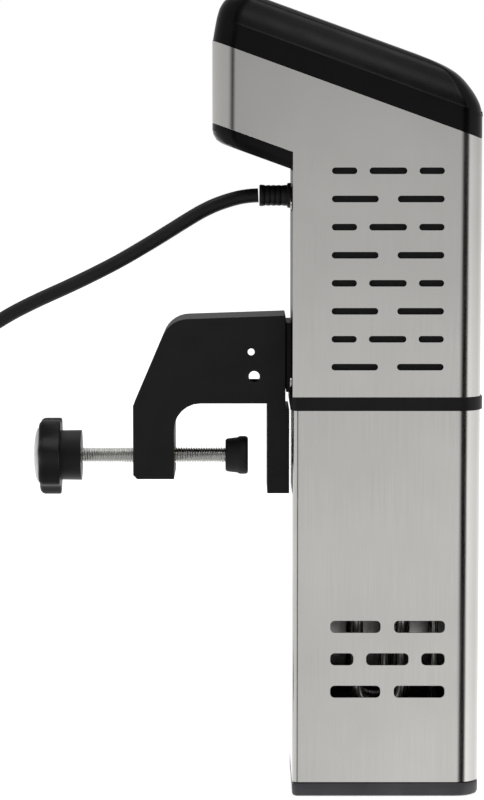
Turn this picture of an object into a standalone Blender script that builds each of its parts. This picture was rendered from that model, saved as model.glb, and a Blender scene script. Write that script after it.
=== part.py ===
"""Sous vide circulator with its rear clamp, modelled at real size.

Metres, +Z up.  +X is the front of the device, the clamp and the cord are on the -X side.
The origin is the middle of the base cap's underside, on the axis of the round drive shaft's tower.
"""
import bmesh
import bpy
import math
from mathutils import Matrix
from mathutils import Vector

MM = 0.001

# ---- Driving dimensions -------------------------------------------------------------------
GAP = 0.3 * MM                    # clearance kept between neighbouring pieces
FRONT_X = 46 * MM                 # front face of the tower
TOWER_REAR_X = -46 * MM           # rear face of the tower
HEAD_REAR_X = -85 * MM            # rear face of the overhanging head
HALF_WIDTH = 39 * MM              # tower and head, across
CORNER_R = 11.5 * MM              # upright corners of the front and of the head
STEEL = 1.0 * MM                  # sheet steel thickness
PLASTIC = 2.5 * MM                # moulded wall thickness

BASE_TOP = 6.9 * MM               # base cap height
COLLAR_BOTTOM = 190.9 * MM
COLLAR_TOP = 197.0 * MM
COLLAR_PROUD = 1.0 * MM           # how far the collar stands out of the steel
SLOPE = math.tan(math.radians(19.9))     # fall of the head, rear to front
SEAM_Z_AT_AXIS = 338.8 * MM       # steel to cover seam where it crosses X = 0
COVER_RISE = 29.3 * MM            # top cover height, straight up from the seam
TRIM_TOP_AT_TOWER = 316.1 * MM    # steel to trim seam under the head, at the tower's rear face
TRIM_DEPTH = 8.6 * MM             # underside trim, straight down

SHAFT_X = 1.0 * MM                # drive shaft axis
SHAFT_R = 2.5 * MM
HEATER_R = 3.5 * MM
SCREW_Z = 164.7 * MM              # clamp screw axis height
SCREW_R = 3.9 * MM                # M8 crest radius, less its tolerance
CORD_R = 3.5 * MM
GLAND_Z = 294.2 * MM

COIL_X = -300 * MM                # stored part of the cord
COIL_Y = 18 * MM
COIL_MEAN_R = 38.1 * MM
COIL_HALF_BAND = 7.3 * MM         # two cords side by side
COIL_BOTTOM = 1.2 * MM            # the tie passes underneath
COIL_TOP = 15.6 * MM

COLLECTION = "sous_vide_circulator"
CUTTERS = "cutters"


# ---- Helpers ------------------------------------------------------------------------------
def start_clean():
    """Remove everything in the scene and make the two collections."""
    for old in list(bpy.data.objects):
        bpy.data.objects.remove(old, do_unlink=True)
    for name in (COLLECTION, CUTTERS):
        group = bpy.data.collections.new(name)
        bpy.context.scene.collection.children.link(group)


def material(name, colour, roughness, metallic=0.0):
    """A Principled material; colour is linear RGB."""
    made = bpy.data.materials.get(name)
    if made is None:
        made = bpy.data.materials.new(name)
        made.use_nodes = True
        shader = made.node_tree.nodes["Principled BSDF"]
        shader.inputs["Base Color"].default_value = (*colour, 1.0)
        shader.inputs["Roughness"].default_value = roughness
        shader.inputs["Metallic"].default_value = metallic
    return made


def brushed_steel():
    return material("brushed_steel", (0.52, 0.51, 0.49), 0.35, 1.0)


def bright_steel():
    return material("bright_steel", (0.60, 0.60, 0.60), 0.2, 1.0)


def black_plastic():
    return material("black_plastic", (0.012, 0.012, 0.013), 0.45)


def grey_plastic():
    return material("grey_plastic", (0.06, 0.06, 0.07), 0.45)


def cap_plastic():
    return material("cap_plastic", (0.5, 0.5, 0.5), 0.35)


def rubber():
    return material("rubber", (0.015, 0.015, 0.015), 0.7)


def glass():
    return material("black_glass", (0.005, 0.005, 0.006), 0.05)


def board_green():
    return material("circuit_board", (0.01, 0.12, 0.05), 0.5)


def brass():
    return material("brass", (0.55, 0.38, 0.12), 0.3, 1.0)


def copper_winding():
    return material("copper_winding", (0.45, 0.16, 0.06), 0.4, 1.0)


def place(name, mesh, finish):
    """Put a mesh in the scene as a named piece."""
    mesh.name = name
    piece = bpy.data.objects.new(name, mesh)
    mesh.materials.clear()
    mesh.materials.append(finish)
    bpy.data.collections[COLLECTION].objects.link(piece)
    return piece


def as_cutter(name, mesh):
    """Put a mesh in the scene as a cutter, which is not a piece."""
    cutter = bpy.data.objects.new(name, mesh)
    bpy.data.collections[CUTTERS].objects.link(cutter)
    cutter.hide_render = True
    cutter.display_type = "WIRE"
    return cutter


def boolean(piece, other, operation="DIFFERENCE"):
    step = piece.modifiers.new(other.name, "BOOLEAN")
    step.operation = operation
    step.object = other
    return step


def round_edges(piece, width, segments=2, angle=40):
    step = piece.modifiers.new("round_edges", "BEVEL")
    step.width = width
    step.segments = segments
    step.limit_method = "ANGLE"
    step.angle_limit = math.radians(angle)
    return step


def smooth(piece, angle=35):
    """Shade a round piece smooth, leaving its real edges sharp."""
    piece.data.shade_smooth()
    piece.data.set_sharp_from_angle(angle=math.radians(angle))


def finish_mesh(bm, name):
    bmesh.ops.recalc_face_normals(bm, faces=bm.faces)
    mesh = bpy.data.meshes.new(name)
    bm.to_mesh(mesh)
    bm.free()
    return mesh


def arc(centre, radius, start, end, steps):
    """Points on an arc, both ends included; angles in degrees."""
    points = []
    for i in range(steps + 1):
        angle = math.radians(start + (end - start) * i / steps)
        points.append((centre[0] + radius * math.cos(angle), centre[1] + radius * math.sin(angle)))
    return points


def rounded_rectangle(low, high, radii, steps=5):
    """Outline of a rectangle; radii run from the low-x low-y corner, anticlockwise."""
    (x0, y0), (x1, y1) = low, high
    corners = ((x0, y0, 1, 1, 180), (x1, y0, -1, 1, 270), (x1, y1, -1, -1, 0), (x0, y1, 1, -1, 90))
    points = []
    for (x, y, inward_x, inward_y, start), r in zip(corners, radii):
        if r == 0:
            points.append((x, y))
        else:
            points += arc((x + inward_x * r, y + inward_y * r), r, start, start + 90, steps)
    return points


AXES = {"x": Vector((1, 0, 0)), "y": Vector((0, 1, 0)), "z": Vector((0, 0, 1))}


def on_plane(axis, depth, point):
    """A 2D point set on the plane across an axis."""
    a, b = point
    return {"x": (depth, a, b), "y": (a, depth, b), "z": (a, b, depth)}[axis]


def pulled(bm, outline, axis, start, end):
    """Pull one closed outline along an axis into a solid, inside a bmesh."""
    face = bm.faces.new([bm.verts.new(on_plane(axis, start, point)) for point in outline])
    grown = bmesh.ops.extrude_face_region(bm, geom=[face])["geom"]
    moved = [v for v in grown if isinstance(v, bmesh.types.BMVert)]
    bmesh.ops.translate(bm, verts=moved, vec=AXES[axis] * (end - start))


def skin(bm, rings):
    """A closed solid over rings that have the same number of points."""
    for low, high in zip(rings, rings[1:]):
        for i in range(len(low)):
            j = (i + 1) % len(low)
            bm.faces.new((low[i], low[j], high[j], high[i]))
    bm.faces.new(rings[0])
    bm.faces.new(rings[-1])


def pulled_mesh(name, outlines, axis, start, end):
    """One mesh holding a pulled solid for each outline."""
    bm = bmesh.new()
    for outline in outlines:
        pulled(bm, outline, axis, start, end)
    return finish_mesh(bm, name)


def tube_wall(name, outline, bottom, top):
    """The open upright wall over an outline, ready for Solidify."""
    bm = bmesh.new()
    verts = [bm.verts.new((x, y, bottom)) for x, y in outline]
    edges = [bm.edges.new((a, b)) for a, b in zip(verts, verts[1:] + verts[:1])]
    grown = bmesh.ops.extrude_edge_only(bm, edges=edges)["geom"]
    moved = [v for v in grown if isinstance(v, bmesh.types.BMVert)]
    bmesh.ops.translate(bm, verts=moved, vec=(0, 0, top - bottom))
    return finish_mesh(bm, name)


def solidify(piece, thickness):
    """Give an open wall its thickness, grown inwards."""
    step = piece.modifiers.new("wall", "SOLIDIFY")
    step.thickness = thickness
    step.offset = -1
    step.use_even_offset = True
    return step


def cylinder(radius, depth, centre, axis="z", sides=24):
    """A cylinder mesh whose middle is at centre."""
    bm = bmesh.new()
    turn = {"x": Matrix.Rotation(math.radians(90), 4, "Y"),
            "y": Matrix.Rotation(math.radians(90), 4, "X"),
            "z": Matrix.Identity(4)}[axis]
    bmesh.ops.create_cone(bm, cap_ends=True, segments=sides, radius1=radius, radius2=radius,
                          depth=depth, matrix=Matrix.Translation(centre) @ turn)
    return finish_mesh(bm, "cylinder")


def block(low, high):
    """A box mesh between two corners."""
    bm = bmesh.new()
    low, high = Vector(low), Vector(high)
    size = Matrix.Diagonal((*(high - low), 1.0))
    bmesh.ops.create_cube(bm, size=1, matrix=Matrix.Translation((low + high) / 2) @ size)
    return finish_mesh(bm, "block")


def joined(meshes):
    """Several closed meshes in one, for a cutter with many teeth."""
    bm = bmesh.new()
    for mesh in meshes:
        bm.from_mesh(mesh)
    return finish_mesh(bm, "joined")


def turned(name, profile, finish, centre, axis="z", steps=24):
    """A piece turned about an axis; profile runs down its outer side as (radius, along)."""
    bm = bmesh.new()
    verts = [bm.verts.new((r, 0, along)) for r, along in profile]
    for a, b in zip(verts, verts[1:]):
        bm.edges.new((a, b))
    mesh = bpy.data.meshes.new(name)
    bm.to_mesh(mesh)
    bm.free()
    piece = place(name, mesh, finish)
    step = piece.modifiers.new("turn", "SCREW")
    step.steps = steps
    step.render_steps = steps
    step.use_merge_vertices = True
    step.merge_threshold = 0.00001
    piece.location = centre
    if axis == "x":
        piece.rotation_euler = (0, math.radians(90), 0)
    return piece


def tube(name, points, radius, finish, sides=8):
    """A round tube along points, with filled ends."""
    path = bpy.data.curves.new(name, "CURVE")
    path.dimensions = "3D"
    path.bevel_depth = radius
    path.bevel_resolution = sides // 2 - 2
    path.use_fill_caps = True
    spline = path.splines.new("POLY")
    spline.points.add(len(points) - 1)
    for target, point in zip(spline.points, points):
        target.co = (*point, 1)
    path.materials.append(finish)
    piece = bpy.data.objects.new(name, path)
    bpy.data.collections[COLLECTION].objects.link(piece)
    return piece


def seam_z(x):
    """Height of the steel to cover seam at x."""
    return SEAM_Z_AT_AXIS - SLOPE * x


def trim_top_z(x):
    """Height of the steel to trim seam under the head at x."""
    return TRIM_TOP_AT_TOWER - SLOPE * (x - TOWER_REAR_X)


def sloped_loft(name, rear, front, half_width, base_z, layers, rear_r, front_r):
    """Stack of rounded outlines lying on the head's slope.

    Each layer is (height, rear inset, front inset, side inset).
    """
    bm = bmesh.new()
    rings = []
    for height, rear_in, front_in, side_in in layers:
        low = (rear + rear_in, -half_width + side_in)
        high = (front - front_in, half_width - side_in)
        back = max(rear_r - 0.6 * side_in, 0) if rear_r else 0
        fore = max(front_r - 0.6 * side_in, 0) if front_r else 0
        outline = rounded_rectangle(low, high, (back, fore, fore, back), 6)
        rings.append([bm.verts.new((x, y, base_z(x) + height)) for x, y in outline])
    for lower, upper in zip(rings, rings[1:]):
        edges = []
        for ring in (lower, upper):
            for a, b in zip(ring, ring[1:] + ring[:1]):
                edges.append(bm.edges.get((a, b)) or bm.edges.new((a, b)))
        bmesh.ops.bridge_loops(bm, edges=edges)
    bm.faces.new(rings[0])
    bm.faces.new(rings[-1])
    return finish_mesh(bm, name)


# ---- Head and tower -----------------------------------------------------------------------
FRONT_CORNERS = (3 * MM, CORNER_R, CORNER_R, 3 * MM)


def slot_outline(x0, x1, z, height, corner):
    """A slot with rounded corners, fully round ended where the corner is half the height."""
    if corner < height / 2:
        return rounded_rectangle((x0, z - height / 2), (x1, z + height / 2), (corner,) * 4, 2)
    return (arc((x0 + corner, z), corner, 90, 270, 4) + arc((x1 - corner, z), corner, -90, 90, 4))


def vent_rows():
    """Cooling slots of the tower: eight rows, alternately three and two slots."""
    three = ((-27.2, -15.0), (-9.1, 9.1), (15.0, 27.2))
    two = ((-27.2, -4.6), (4.6, 27.2))
    outlines = []
    for row in range(8):
        z = (307.0 - 13.57 * row) * MM
        for x0, x1 in (three if row % 2 == 0 else two):
            outlines.append(slot_outline(x0 * MM, x1 * MM, z, 3.2 * MM, 1.6 * MM))
    return outlines


def water_rows():
    """Water slots of the sleeve: three rows of two, three and two slots."""
    two = ((-27.4, -2.8), (3.8, 28.7))
    three = ((-27.4, -16.0), (-9.8, 11.0), (17.2, 28.7))
    outlines = []
    for row, spans in enumerate((two, three, two)):
        z = (84.5 - 16.1 * row) * MM
        for x0, x1 in spans:
            outlines.append(slot_outline(x0 * MM, x1 * MM, z, 6.0 * MM, 2.2 * MM))
    return outlines


def upper_housing():
    low, high = (HEAD_REAR_X, -HALF_WIDTH), (FRONT_X, HALF_WIDTH)
    outline = rounded_rectangle(low, high, (CORNER_R,) * 4, 6)
    wall = tube_wall("upper_housing", outline, COLLAR_TOP - 5 * MM, 400 * MM)
    piece = place("upper_housing", wall, brushed_steel())
    solidify(piece, STEEL)
    left, right = HEAD_REAR_X - 5 * MM, FRONT_X + 5 * MM
    side_view = [(TOWER_REAR_X, COLLAR_TOP + GAP), (right, COLLAR_TOP + GAP), (right, seam_z(right)),
                 (left, seam_z(left)), (left, trim_top_z(left)),
                 (TOWER_REAR_X, trim_top_z(TOWER_REAR_X))]
    keep = pulled_mesh("housing_side_view", [side_view], "y", -60 * MM, 60 * MM)
    boolean(piece, as_cutter("housing_side_view", keep), "INTERSECT")
    slots = pulled_mesh("vent_slots", vent_rows(), "y", -60 * MM, 60 * MM)
    boolean(piece, as_cutter("vent_slots", slots))
    smooth(piece)


def vent_screens():
    """Dust screens behind the cooling slots, one inside each side of the tower."""
    for name, side in (("vent_screen_left", -1), ("vent_screen_right", 1)):
        outer = side * (HALF_WIDTH - STEEL - 1.2 * MM)
        inner = side * (HALF_WIDTH - STEEL - 2.2 * MM)
        low = (-33 * MM, min(outer, inner), 202 * MM)
        high = (33 * MM, max(outer, inner), 313 * MM)
        place(name, block(low, high), black_plastic())


def rear_panel():
    """Black panel that closes the tower between the steel sides."""
    x = TOWER_REAR_X
    half = HALF_WIDTH - STEEL - GAP
    bottom, top = COLLAR_TOP + GAP, TRIM_TOP_AT_TOWER - TRIM_DEPTH - 2 * GAP
    piece = place("rear_panel", block((x, -half, bottom), (x + PLASTIC, half, top)), black_plastic())
    holes = [cylinder(4.7 * MM, 10 * MM, (x, 0, GLAND_Z), "x")]
    for y, z in PANEL_SCREWS:
        holes.append(cylinder(1.8 * MM, 10 * MM, (x, y, z), "x", 12))
    for z in BRACKET_SCREW_Z:
        holes.append(cylinder(2.4 * MM, 10 * MM, (x, 0, z), "x", 12))
    boolean(piece, as_cutter("panel_holes", joined(holes)))


PANEL_SCREWS = [(y * MM, z * MM) for y in (-31, 31) for z in (204, 290)]
BRACKET_SCREW_Z = (201 * MM, 228 * MM)


def panel_screws():
    """Countersunk screws that hold the rear panel."""
    for number, (y, z) in enumerate(PANEL_SCREWS, 1):
        profile = [(0, 8.0), (1.5, 8.0), (1.5, -0.3), (2.9, -0.3), (2.9, -1.2), (0, -1.2)]
        profile = [(r * MM, along * MM) for r, along in profile]
        turned(f"panel_screw_{number}", profile, bright_steel(), (TOWER_REAR_X, y, z), "x", 12)


def head_trim():
    """Black tray that closes the overhang from below."""
    front = TOWER_REAR_X - GAP
    top = TRIM_DEPTH - GAP
    layers = [(0, 4.5 * MM, 0, 2.2 * MM), (0.9 * MM, 2.0 * MM, 0, 1.0 * MM),
              (3.0 * MM, 0.5 * MM, 0, 0.2 * MM), (5.0 * MM, 0, 0, 0), (top, 0, 0, 0)]

    def bottom_z(x):
        return trim_top_z(x) - TRIM_DEPTH
    mesh = sloped_loft("head_trim", HEAD_REAR_X, front, HALF_WIDTH, bottom_z, layers, CORNER_R, 0)
    piece = place("head_trim", mesh, black_plastic())
    well = [(PLASTIC, 0, 0, 0), (top + 5 * MM, 0, 0, 0)]
    inner = sloped_loft("trim_well", HEAD_REAR_X + PLASTIC, front - PLASTIC, HALF_WIDTH - PLASTIC,
                        bottom_z, well, CORNER_R - PLASTIC, 0)
    boolean(piece, as_cutter("trim_well", inner))
    smooth(piece)


COVER_LAYERS = [  # height, rear inset, front inset, side inset, in mm
    (0.3, 0.3, 0, 0), (11.8, 2.3, 0, 0.2), (16.5, 3.5, 1.3, 1.2), (20.5, 5.6, 3.8, 2.1),
    (23.8, 8.0, 7.0, 2.9), (26.2, 10.2, 9.8, 3.6), (28.0, 12.6, 13.6, 4.6), (29.0, 15.4, 18.3, 6.4),
    (29.3, 19.0, 24.0, 9.0)]


def top_cover():
    layers = [tuple(value * MM for value in layer) for layer in COVER_LAYERS]
    mesh = sloped_loft("top_cover", HEAD_REAR_X, FRONT_X, HALF_WIDTH, seam_z, layers,
                       CORNER_R, CORNER_R)
    piece = place("top_cover", mesh, black_plastic())
    well = [(-2, 0.3, 0, 0), (11.8, 2.3, 0, 0.2), (20.5, 6.2, 5.0, 2.2), (25.5, 12.0, 12.0, 4.5)]
    well = [tuple(value * MM for value in layer) for layer in well]
    inner = sloped_loft("cover_well", HEAD_REAR_X + PLASTIC, FRONT_X - PLASTIC, HALF_WIDTH - PLASTIC,
                        seam_z, well, CORNER_R - PLASTIC, CORNER_R - PLASTIC)
    boolean(piece, as_cutter("cover_well", inner))
    seat = sloped_loft("display_seat", DISPLAY_REAR - GAP, DISPLAY_FRONT + GAP, DISPLAY_HALF + GAP,
                       seam_z, [(COVER_RISE - 1.8 * MM, 0, 0, 0), (COVER_RISE + 5 * MM, 0, 0, 0)],
                       6.3 * MM, 6.3 * MM)
    boolean(piece, as_cutter("display_seat", seat))
    smooth(piece)


DISPLAY_REAR = -62 * MM
DISPLAY_FRONT = 19 * MM
DISPLAY_HALF = 27.5 * MM


def display_panel():
    """Glass touch panel let into the top cover."""
    layers = [(COVER_RISE - 1.5 * MM, 0, 0, 0), (COVER_RISE + 0.2 * MM, 0, 0, 0)]
    mesh = sloped_loft("display_panel", DISPLAY_REAR, DISPLAY_FRONT, DISPLAY_HALF, seam_z, layers,
                       6 * MM, 6 * MM)
    place("display_panel", mesh, glass())


def control_board():
    """Circuit board under the display, hung on the slope."""
    layers = [(18.5 * MM, 0, 0, 0), (20.1 * MM, 0, 0, 0)]
    mesh = sloped_loft("control_board", -68 * MM, 26 * MM, 31 * MM, seam_z, layers, 2 * MM, 2 * MM)
    place("control_board", mesh, board_green())


def collar():
    """Base flange of the upper unit: collar band outside, spigot for the sleeve below."""
    outer = COLLAR_PROUD
    low = (TOWER_REAR_X - outer, -HALF_WIDTH - outer)
    high = (FRONT_X + outer, HALF_WIDTH + outer)
    band = rounded_rectangle(low, high, (4 * MM, CORNER_R + outer, CORNER_R + outer, 4 * MM), 6)
    mesh = pulled_mesh("mid_collar", [band], "z", COLLAR_BOTTOM, COLLAR_TOP)
    piece = place("mid_collar", mesh, grey_plastic())
    inset = STEEL + 2 * GAP
    low = (TOWER_REAR_X + inset, -HALF_WIDTH + inset)
    high = (FRONT_X - inset, HALF_WIDTH - inset)
    corner = CORNER_R - inset
    spigot = rounded_rectangle(low, high, (2 * MM, corner, corner, 2 * MM), 6)
    step = pulled_mesh("spigot", [spigot], "z", COLLAR_BOTTOM - 8 * MM, COLLAR_BOTTOM + 1 * MM)
    boolean(piece, as_cutter("spigot", step), "UNION")
    groove = pulled_mesh("seal_groove", [band], "z", SEAL_Z - 1.4 * MM, SEAL_Z + 1.4 * MM)
    core = [seal_path(2.6 * MM)]
    groove_piece = as_cutter("seal_groove", groove)
    boolean(groove_piece, as_cutter("groove_core", pulled_mesh("groove_core", core, "z",
                                                               SEAL_Z - 5 * MM, SEAL_Z + 5 * MM)))
    boolean(piece, groove_piece)
    mid = (COLLAR_BOTTOM + COLLAR_TOP) / 2
    holes = [cylinder(8 * MM, 60 * MM, (SHAFT_X, 0, mid), "z")]
    for x, y in heater_legs():
        holes.append(cylinder(HEATER_R + GAP, 60 * MM, (x, y, mid), "z", 16))
    for x, y, _ in PROBES:
        holes.append(cylinder(2 * MM + GAP, 60 * MM, (x, y, mid), "z", 12))
    boolean(piece, as_cutter("collar_holes", joined(holes)))
    smooth(piece)


SEAL_Z = 186.5 * MM


def seal_path(inset):
    """Outline inside the sleeve at a distance from its outer face."""
    low = (TOWER_REAR_X + inset + STEEL, -HALF_WIDTH + inset + STEEL)
    high = (FRONT_X - inset - STEEL, HALF_WIDTH - inset - STEEL)
    corner = CORNER_R - inset
    return rounded_rectangle(low, high, (2 * MM, corner, corner, 2 * MM), 6)


def sleeve_seal():
    """Flat rubber ring in the spigot's groove."""
    ring = pulled_mesh("sleeve_seal", [seal_path(0.4 * MM)], "z", SEAL_Z - 1.0 * MM,
                       SEAL_Z + 1.0 * MM)
    piece = place("sleeve_seal", ring, rubber())
    hole = pulled_mesh("seal_hole", [seal_path(2.2 * MM)], "z", SEAL_Z - 5 * MM, SEAL_Z + 5 * MM)
    boolean(piece, as_cutter("seal_hole", hole))


# ---- Sleeve -------------------------------------------------------------------------------
def lower_sleeve():
    low, high = (TOWER_REAR_X, -HALF_WIDTH), (FRONT_X, HALF_WIDTH)
    outline = rounded_rectangle(low, high, FRONT_CORNERS, 6)
    wall = tube_wall("lower_sleeve", outline, BASE_TOP + GAP, COLLAR_BOTTOM - GAP)
    piece = place("lower_sleeve", wall, brushed_steel())
    solidify(piece, STEEL)
    slots = pulled_mesh("water_slots", water_rows(), "y", -60 * MM, -20 * MM)
    boolean(piece, as_cutter("water_slots", slots))
    smooth(piece)


def base_cap():
    """Bottom cap: tray flush with the sleeve, with an intake ring and a plug inside the sleeve."""
    low, high = (TOWER_REAR_X, -HALF_WIDTH), (FRONT_X, HALF_WIDTH)
    outline = rounded_rectangle(low, high, FRONT_CORNERS, 6)
    piece = place("base_cap", pulled_mesh("base_cap", [outline], "z", 0, BASE_TOP), grey_plastic())
    round_edges(piece, 1.4 * MM, 2, 60)
    rim = pulled_mesh("cap_rim", [seal_path(GAP)], "z", BASE_TOP - 1 * MM, BASE_TOP + 6 * MM)
    boolean(piece, as_cutter("cap_rim", rim), "UNION")
    well = pulled_mesh("cap_well", [seal_path(3 * MM)], "z", 3 * MM, 40 * MM)
    boolean(piece, as_cutter("cap_well", well))
    teeth = []
    for i in range(10):
        turn = math.radians(36 * i)
        x, y = 26 * MM * math.cos(turn), 26 * MM * math.sin(turn)
        teeth.append(cylinder(3.2 * MM, 30 * MM, (SHAFT_X + x, y, 0), "z", 10))
    boolean(piece, as_cutter("intake_holes", joined(teeth)))



# ---- Wet end: heater and probes -----------------------------------------------------------
HEATER_X = (-14 * MM, 9 * MM)
HEATER_Y = 20 * MM
HEATER_LOW = 40 * MM
HEATER_HIGH = 150 * MM
PROBES = ((25 * MM, 0, 34 * MM), (25 * MM, -14 * MM, 60 * MM), (25 * MM, 14 * MM, 110 * MM))


def heater_legs():
    """Where the heater's two ends pass through the collar."""
    return [(HEATER_X[0], -HEATER_Y), (HEATER_X[0], HEATER_Y)]


def heater_element():
    """One tubular heater: down, across, up, over to the far side, and back the same way."""
    x0, x1 = HEATER_X
    bend = (x1 - x0) / 2
    mid = (x0 + x1) / 2
    points = [(x0, -HEATER_Y, COLLAR_TOP + 12 * MM), (x0, -HEATER_Y, HEATER_LOW + bend)]
    points += [(a, -HEATER_Y, b) for a, b in arc((mid, HEATER_LOW + bend), bend, 180, 360, 8)[1:-1]]
    points.append((x1, -HEATER_Y, HEATER_LOW + bend))
    points += [(x1, a, b) for a, b in arc((0, HEATER_HIGH), HEATER_Y, 180, 0, 12)]
    points.append((x1, HEATER_Y, HEATER_LOW + bend))
    points += [(a, HEATER_Y, b) for a, b in arc((mid, HEATER_LOW + bend), bend, 0, -180, 8)[1:-1]]
    points += [(x0, HEATER_Y, HEATER_LOW + bend), (x0, HEATER_Y, COLLAR_TOP + 12 * MM)]
    tube("heater_element", points, HEATER_R, bright_steel())


def heater_nuts():
    """Nuts that hold the heater's ends in the collar."""
    for number, (x, y) in enumerate(heater_legs(), 1):
        centre = (x, y, COLLAR_TOP + GAP + 2.5 * MM)
        piece = place(f"heater_nut_{number}", cylinder(7 * MM, 5 * MM, centre, "z", 6), brass())
        hole = cylinder(HEATER_R + GAP, 20 * MM, centre, "z", 16)
        boolean(piece, as_cutter(f"heater_nut_hole_{number}", hole))


def probes():
    """Temperature probe and the two water level probes."""
    names = ("temperature_probe", "level_probe_low", "level_probe_high")
    for name, (x, y, low) in zip(names, PROBES):
        high = COLLAR_TOP + 8 * MM
        centre = (x, y, (low + high) / 2)
        piece = place(name, cylinder(2 * MM, high - low, centre, "z", 12), bright_steel())
        round_edges(piece, 0.8 * MM)


# ---- Motor and rotor ----------------------------------------------------------------------
MOTOR_LOW = 214 * MM
MOTOR_HIGH = 262 * MM
MOTOR_R = 19 * MM


def motor():
    bracket = place("motor_bracket", block((-20 * MM, -24 * MM, MOTOR_LOW - 3.3 * MM),
                                           (22 * MM, 24 * MM, MOTOR_LOW - 0.3 * MM)), bright_steel())
    base = (SHAFT_X, 0, MOTOR_LOW)
    boolean(bracket, as_cutter("bracket_bore", cylinder(6 * MM, 30 * MM, base)))
    posts = ((-17, -6), (18, -20), (-17, 6), (18, 20))
    low, high = COLLAR_TOP + GAP, MOTOR_LOW - 3.6 * MM
    for number, (x, y) in enumerate(posts, 1):
        centre = (x * MM, y * MM, (low + high) / 2)
        place(f"motor_post_{number}", cylinder(2.5 * MM, high - low, centre, "z", 12), brass())
    centre = (SHAFT_X, 0, (MOTOR_LOW + MOTOR_HIGH) / 2)
    can = place("motor_can", cylinder(MOTOR_R, MOTOR_HIGH - MOTOR_LOW, centre, "z", 32),
                bright_steel())
    boolean(can, as_cutter("motor_bore", cylinder(SHAFT_R + 0.5 * MM, 80 * MM, centre)))
    for name, z in (("motor_bearing", MOTOR_HIGH + 2.8 * MM), ("shaft_seal", COLLAR_BOTTOM + 3 * MM)):
        outer = 7.5 * MM
        ring = place(name, cylinder(outer, 5 * MM, (SHAFT_X, 0, z)), rubber())
        bore = cylinder(SHAFT_R + GAP, 20 * MM, (SHAFT_X, 0, z))
        boolean(ring, as_cutter(name + "_bore", bore))


def rotor():
    """Drive shaft with the impeller at its foot and the cooling fan on top."""
    low, high = 9 * MM, 285 * MM
    centre = (SHAFT_X, 0, (low + high) / 2)
    place("drive_shaft", cylinder(SHAFT_R, high - low, centre, "z", 16), bright_steel())
    bladed_wheel("impeller", 17 * MM, 12 * MM, 12 * MM, 5, black_plastic())
    bladed_wheel("cooling_fan", 20 * MM, 272 * MM, 10 * MM, 7, black_plastic())


def bladed_wheel(name, radius, bottom, height, blades, finish):
    """A hub with straight slanting blades, joined by a Boolean union."""
    hub_r = 6 * MM
    blade_height = height * 0.8
    centre = (SHAFT_X, 0, bottom + height / 2)
    wheel = place(name, cylinder(hub_r, height, centre, "z", 20), finish)
    for i in range(blades):
        low = (4.2 * MM, -0.7 * MM, -blade_height / 2)
        mesh = block(low, (radius, 0.7 * MM, blade_height / 2))
        mesh.transform(Matrix.Rotation(math.radians(25), 4, "X"))
        mesh.transform(Matrix.Rotation(2 * math.pi * i / blades, 4, "Z"))
        mesh.transform(Matrix.Translation(centre))
        boolean(wheel, as_cutter(f"{name}_blade_{i + 1}", mesh), "UNION")
    bore = cylinder(SHAFT_R + GAP, 40 * MM, centre, "z", 14)
    boolean(wheel, as_cutter(name + "_bore", bore))


# ---- Power electronics --------------------------------------------------------------------
def electronics():
    """Power board on the rear panel's inner side with its transformer and heat sink."""
    x = TOWER_REAR_X + PLASTIC + 9 * MM
    board = block((x, -30 * MM, 214 * MM), (x + 1.6 * MM, 30 * MM, 286 * MM))
    place("power_board", board, board_green())
    x += 1.6 * MM + GAP
    core = place("power_transformer", block((x, -26 * MM, 266 * MM), (x + 12 * MM, -4 * MM, 284 * MM)),
                 copper_winding())
    round_edges(core, 1.5 * MM)
    sink = place("heat_sink", block((x, 4 * MM, 266 * MM), (x + 12 * MM, 26 * MM, 284 * MM)),
                 bright_steel())
    gaps = [block((x + 2 * MM, (6.5 + 4.5 * i) * MM, 260 * MM), (x + 20 * MM, (9 + 4.5 * i) * MM,
                                                                   290 * MM)) for i in range(4)]
    boolean(sink, as_cutter("heat_sink_gaps", joined(gaps)))


# ---- Clamp --------------------------------------------------------------------------------
BRACKET_HALF = 21 * MM
PLATE_FRONT = TOWER_REAR_X - GAP
PLATE_REAR = -48.9 * MM
JAW_X = -58.2 * MM                # inner face of the fixed leg
LEG_BOTTOM = 148.0 * MM
WEB_BOTTOM = 192.5 * MM
BRACKET_TOP = 235.2 * MM
ARM_INNER = -104.1 * MM
ARM_OUTER = -124.3 * MM
ARM_BOTTOM = 155.0 * MM


def clamp_mount_plate():
    """Plate on the tower's rear panel that the bracket is screwed to."""
    half = BRACKET_HALF - 1.5 * MM
    low, high = (PLATE_REAR, -half, COLLAR_TOP + 1 * MM), (PLATE_FRONT, half, BRACKET_TOP - 3 * MM)
    piece = place("clamp_mount_plate", block(low, high), black_plastic())
    holes = [cylinder(2.4 * MM, 20 * MM, (PLATE_REAR, 0, z), "x", 12) for z in BRACKET_SCREW_Z]
    boolean(piece, as_cutter("mount_plate_holes", joined(holes)))


def flared_hole(centre, radius, drop, far_radius, sides=16):
    """Cutter for a hole across the bracket, wider and a little lower at the +Y side."""
    x, z = centre
    bm = bmesh.new()
    rings = []
    for y, share in ((-1.1 * BRACKET_HALF, -0.05), (1.1 * BRACKET_HALF, 1.05)):
        middle = z + share * drop
        points = arc((x, middle), radius + share * (far_radius - radius), 0, 360, sides)[:-1]
        rings.append([bm.verts.new((px, y, pz)) for px, pz in points])
    skin(bm, rings)
    return finish_mesh(bm, "flared_hole")


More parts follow.
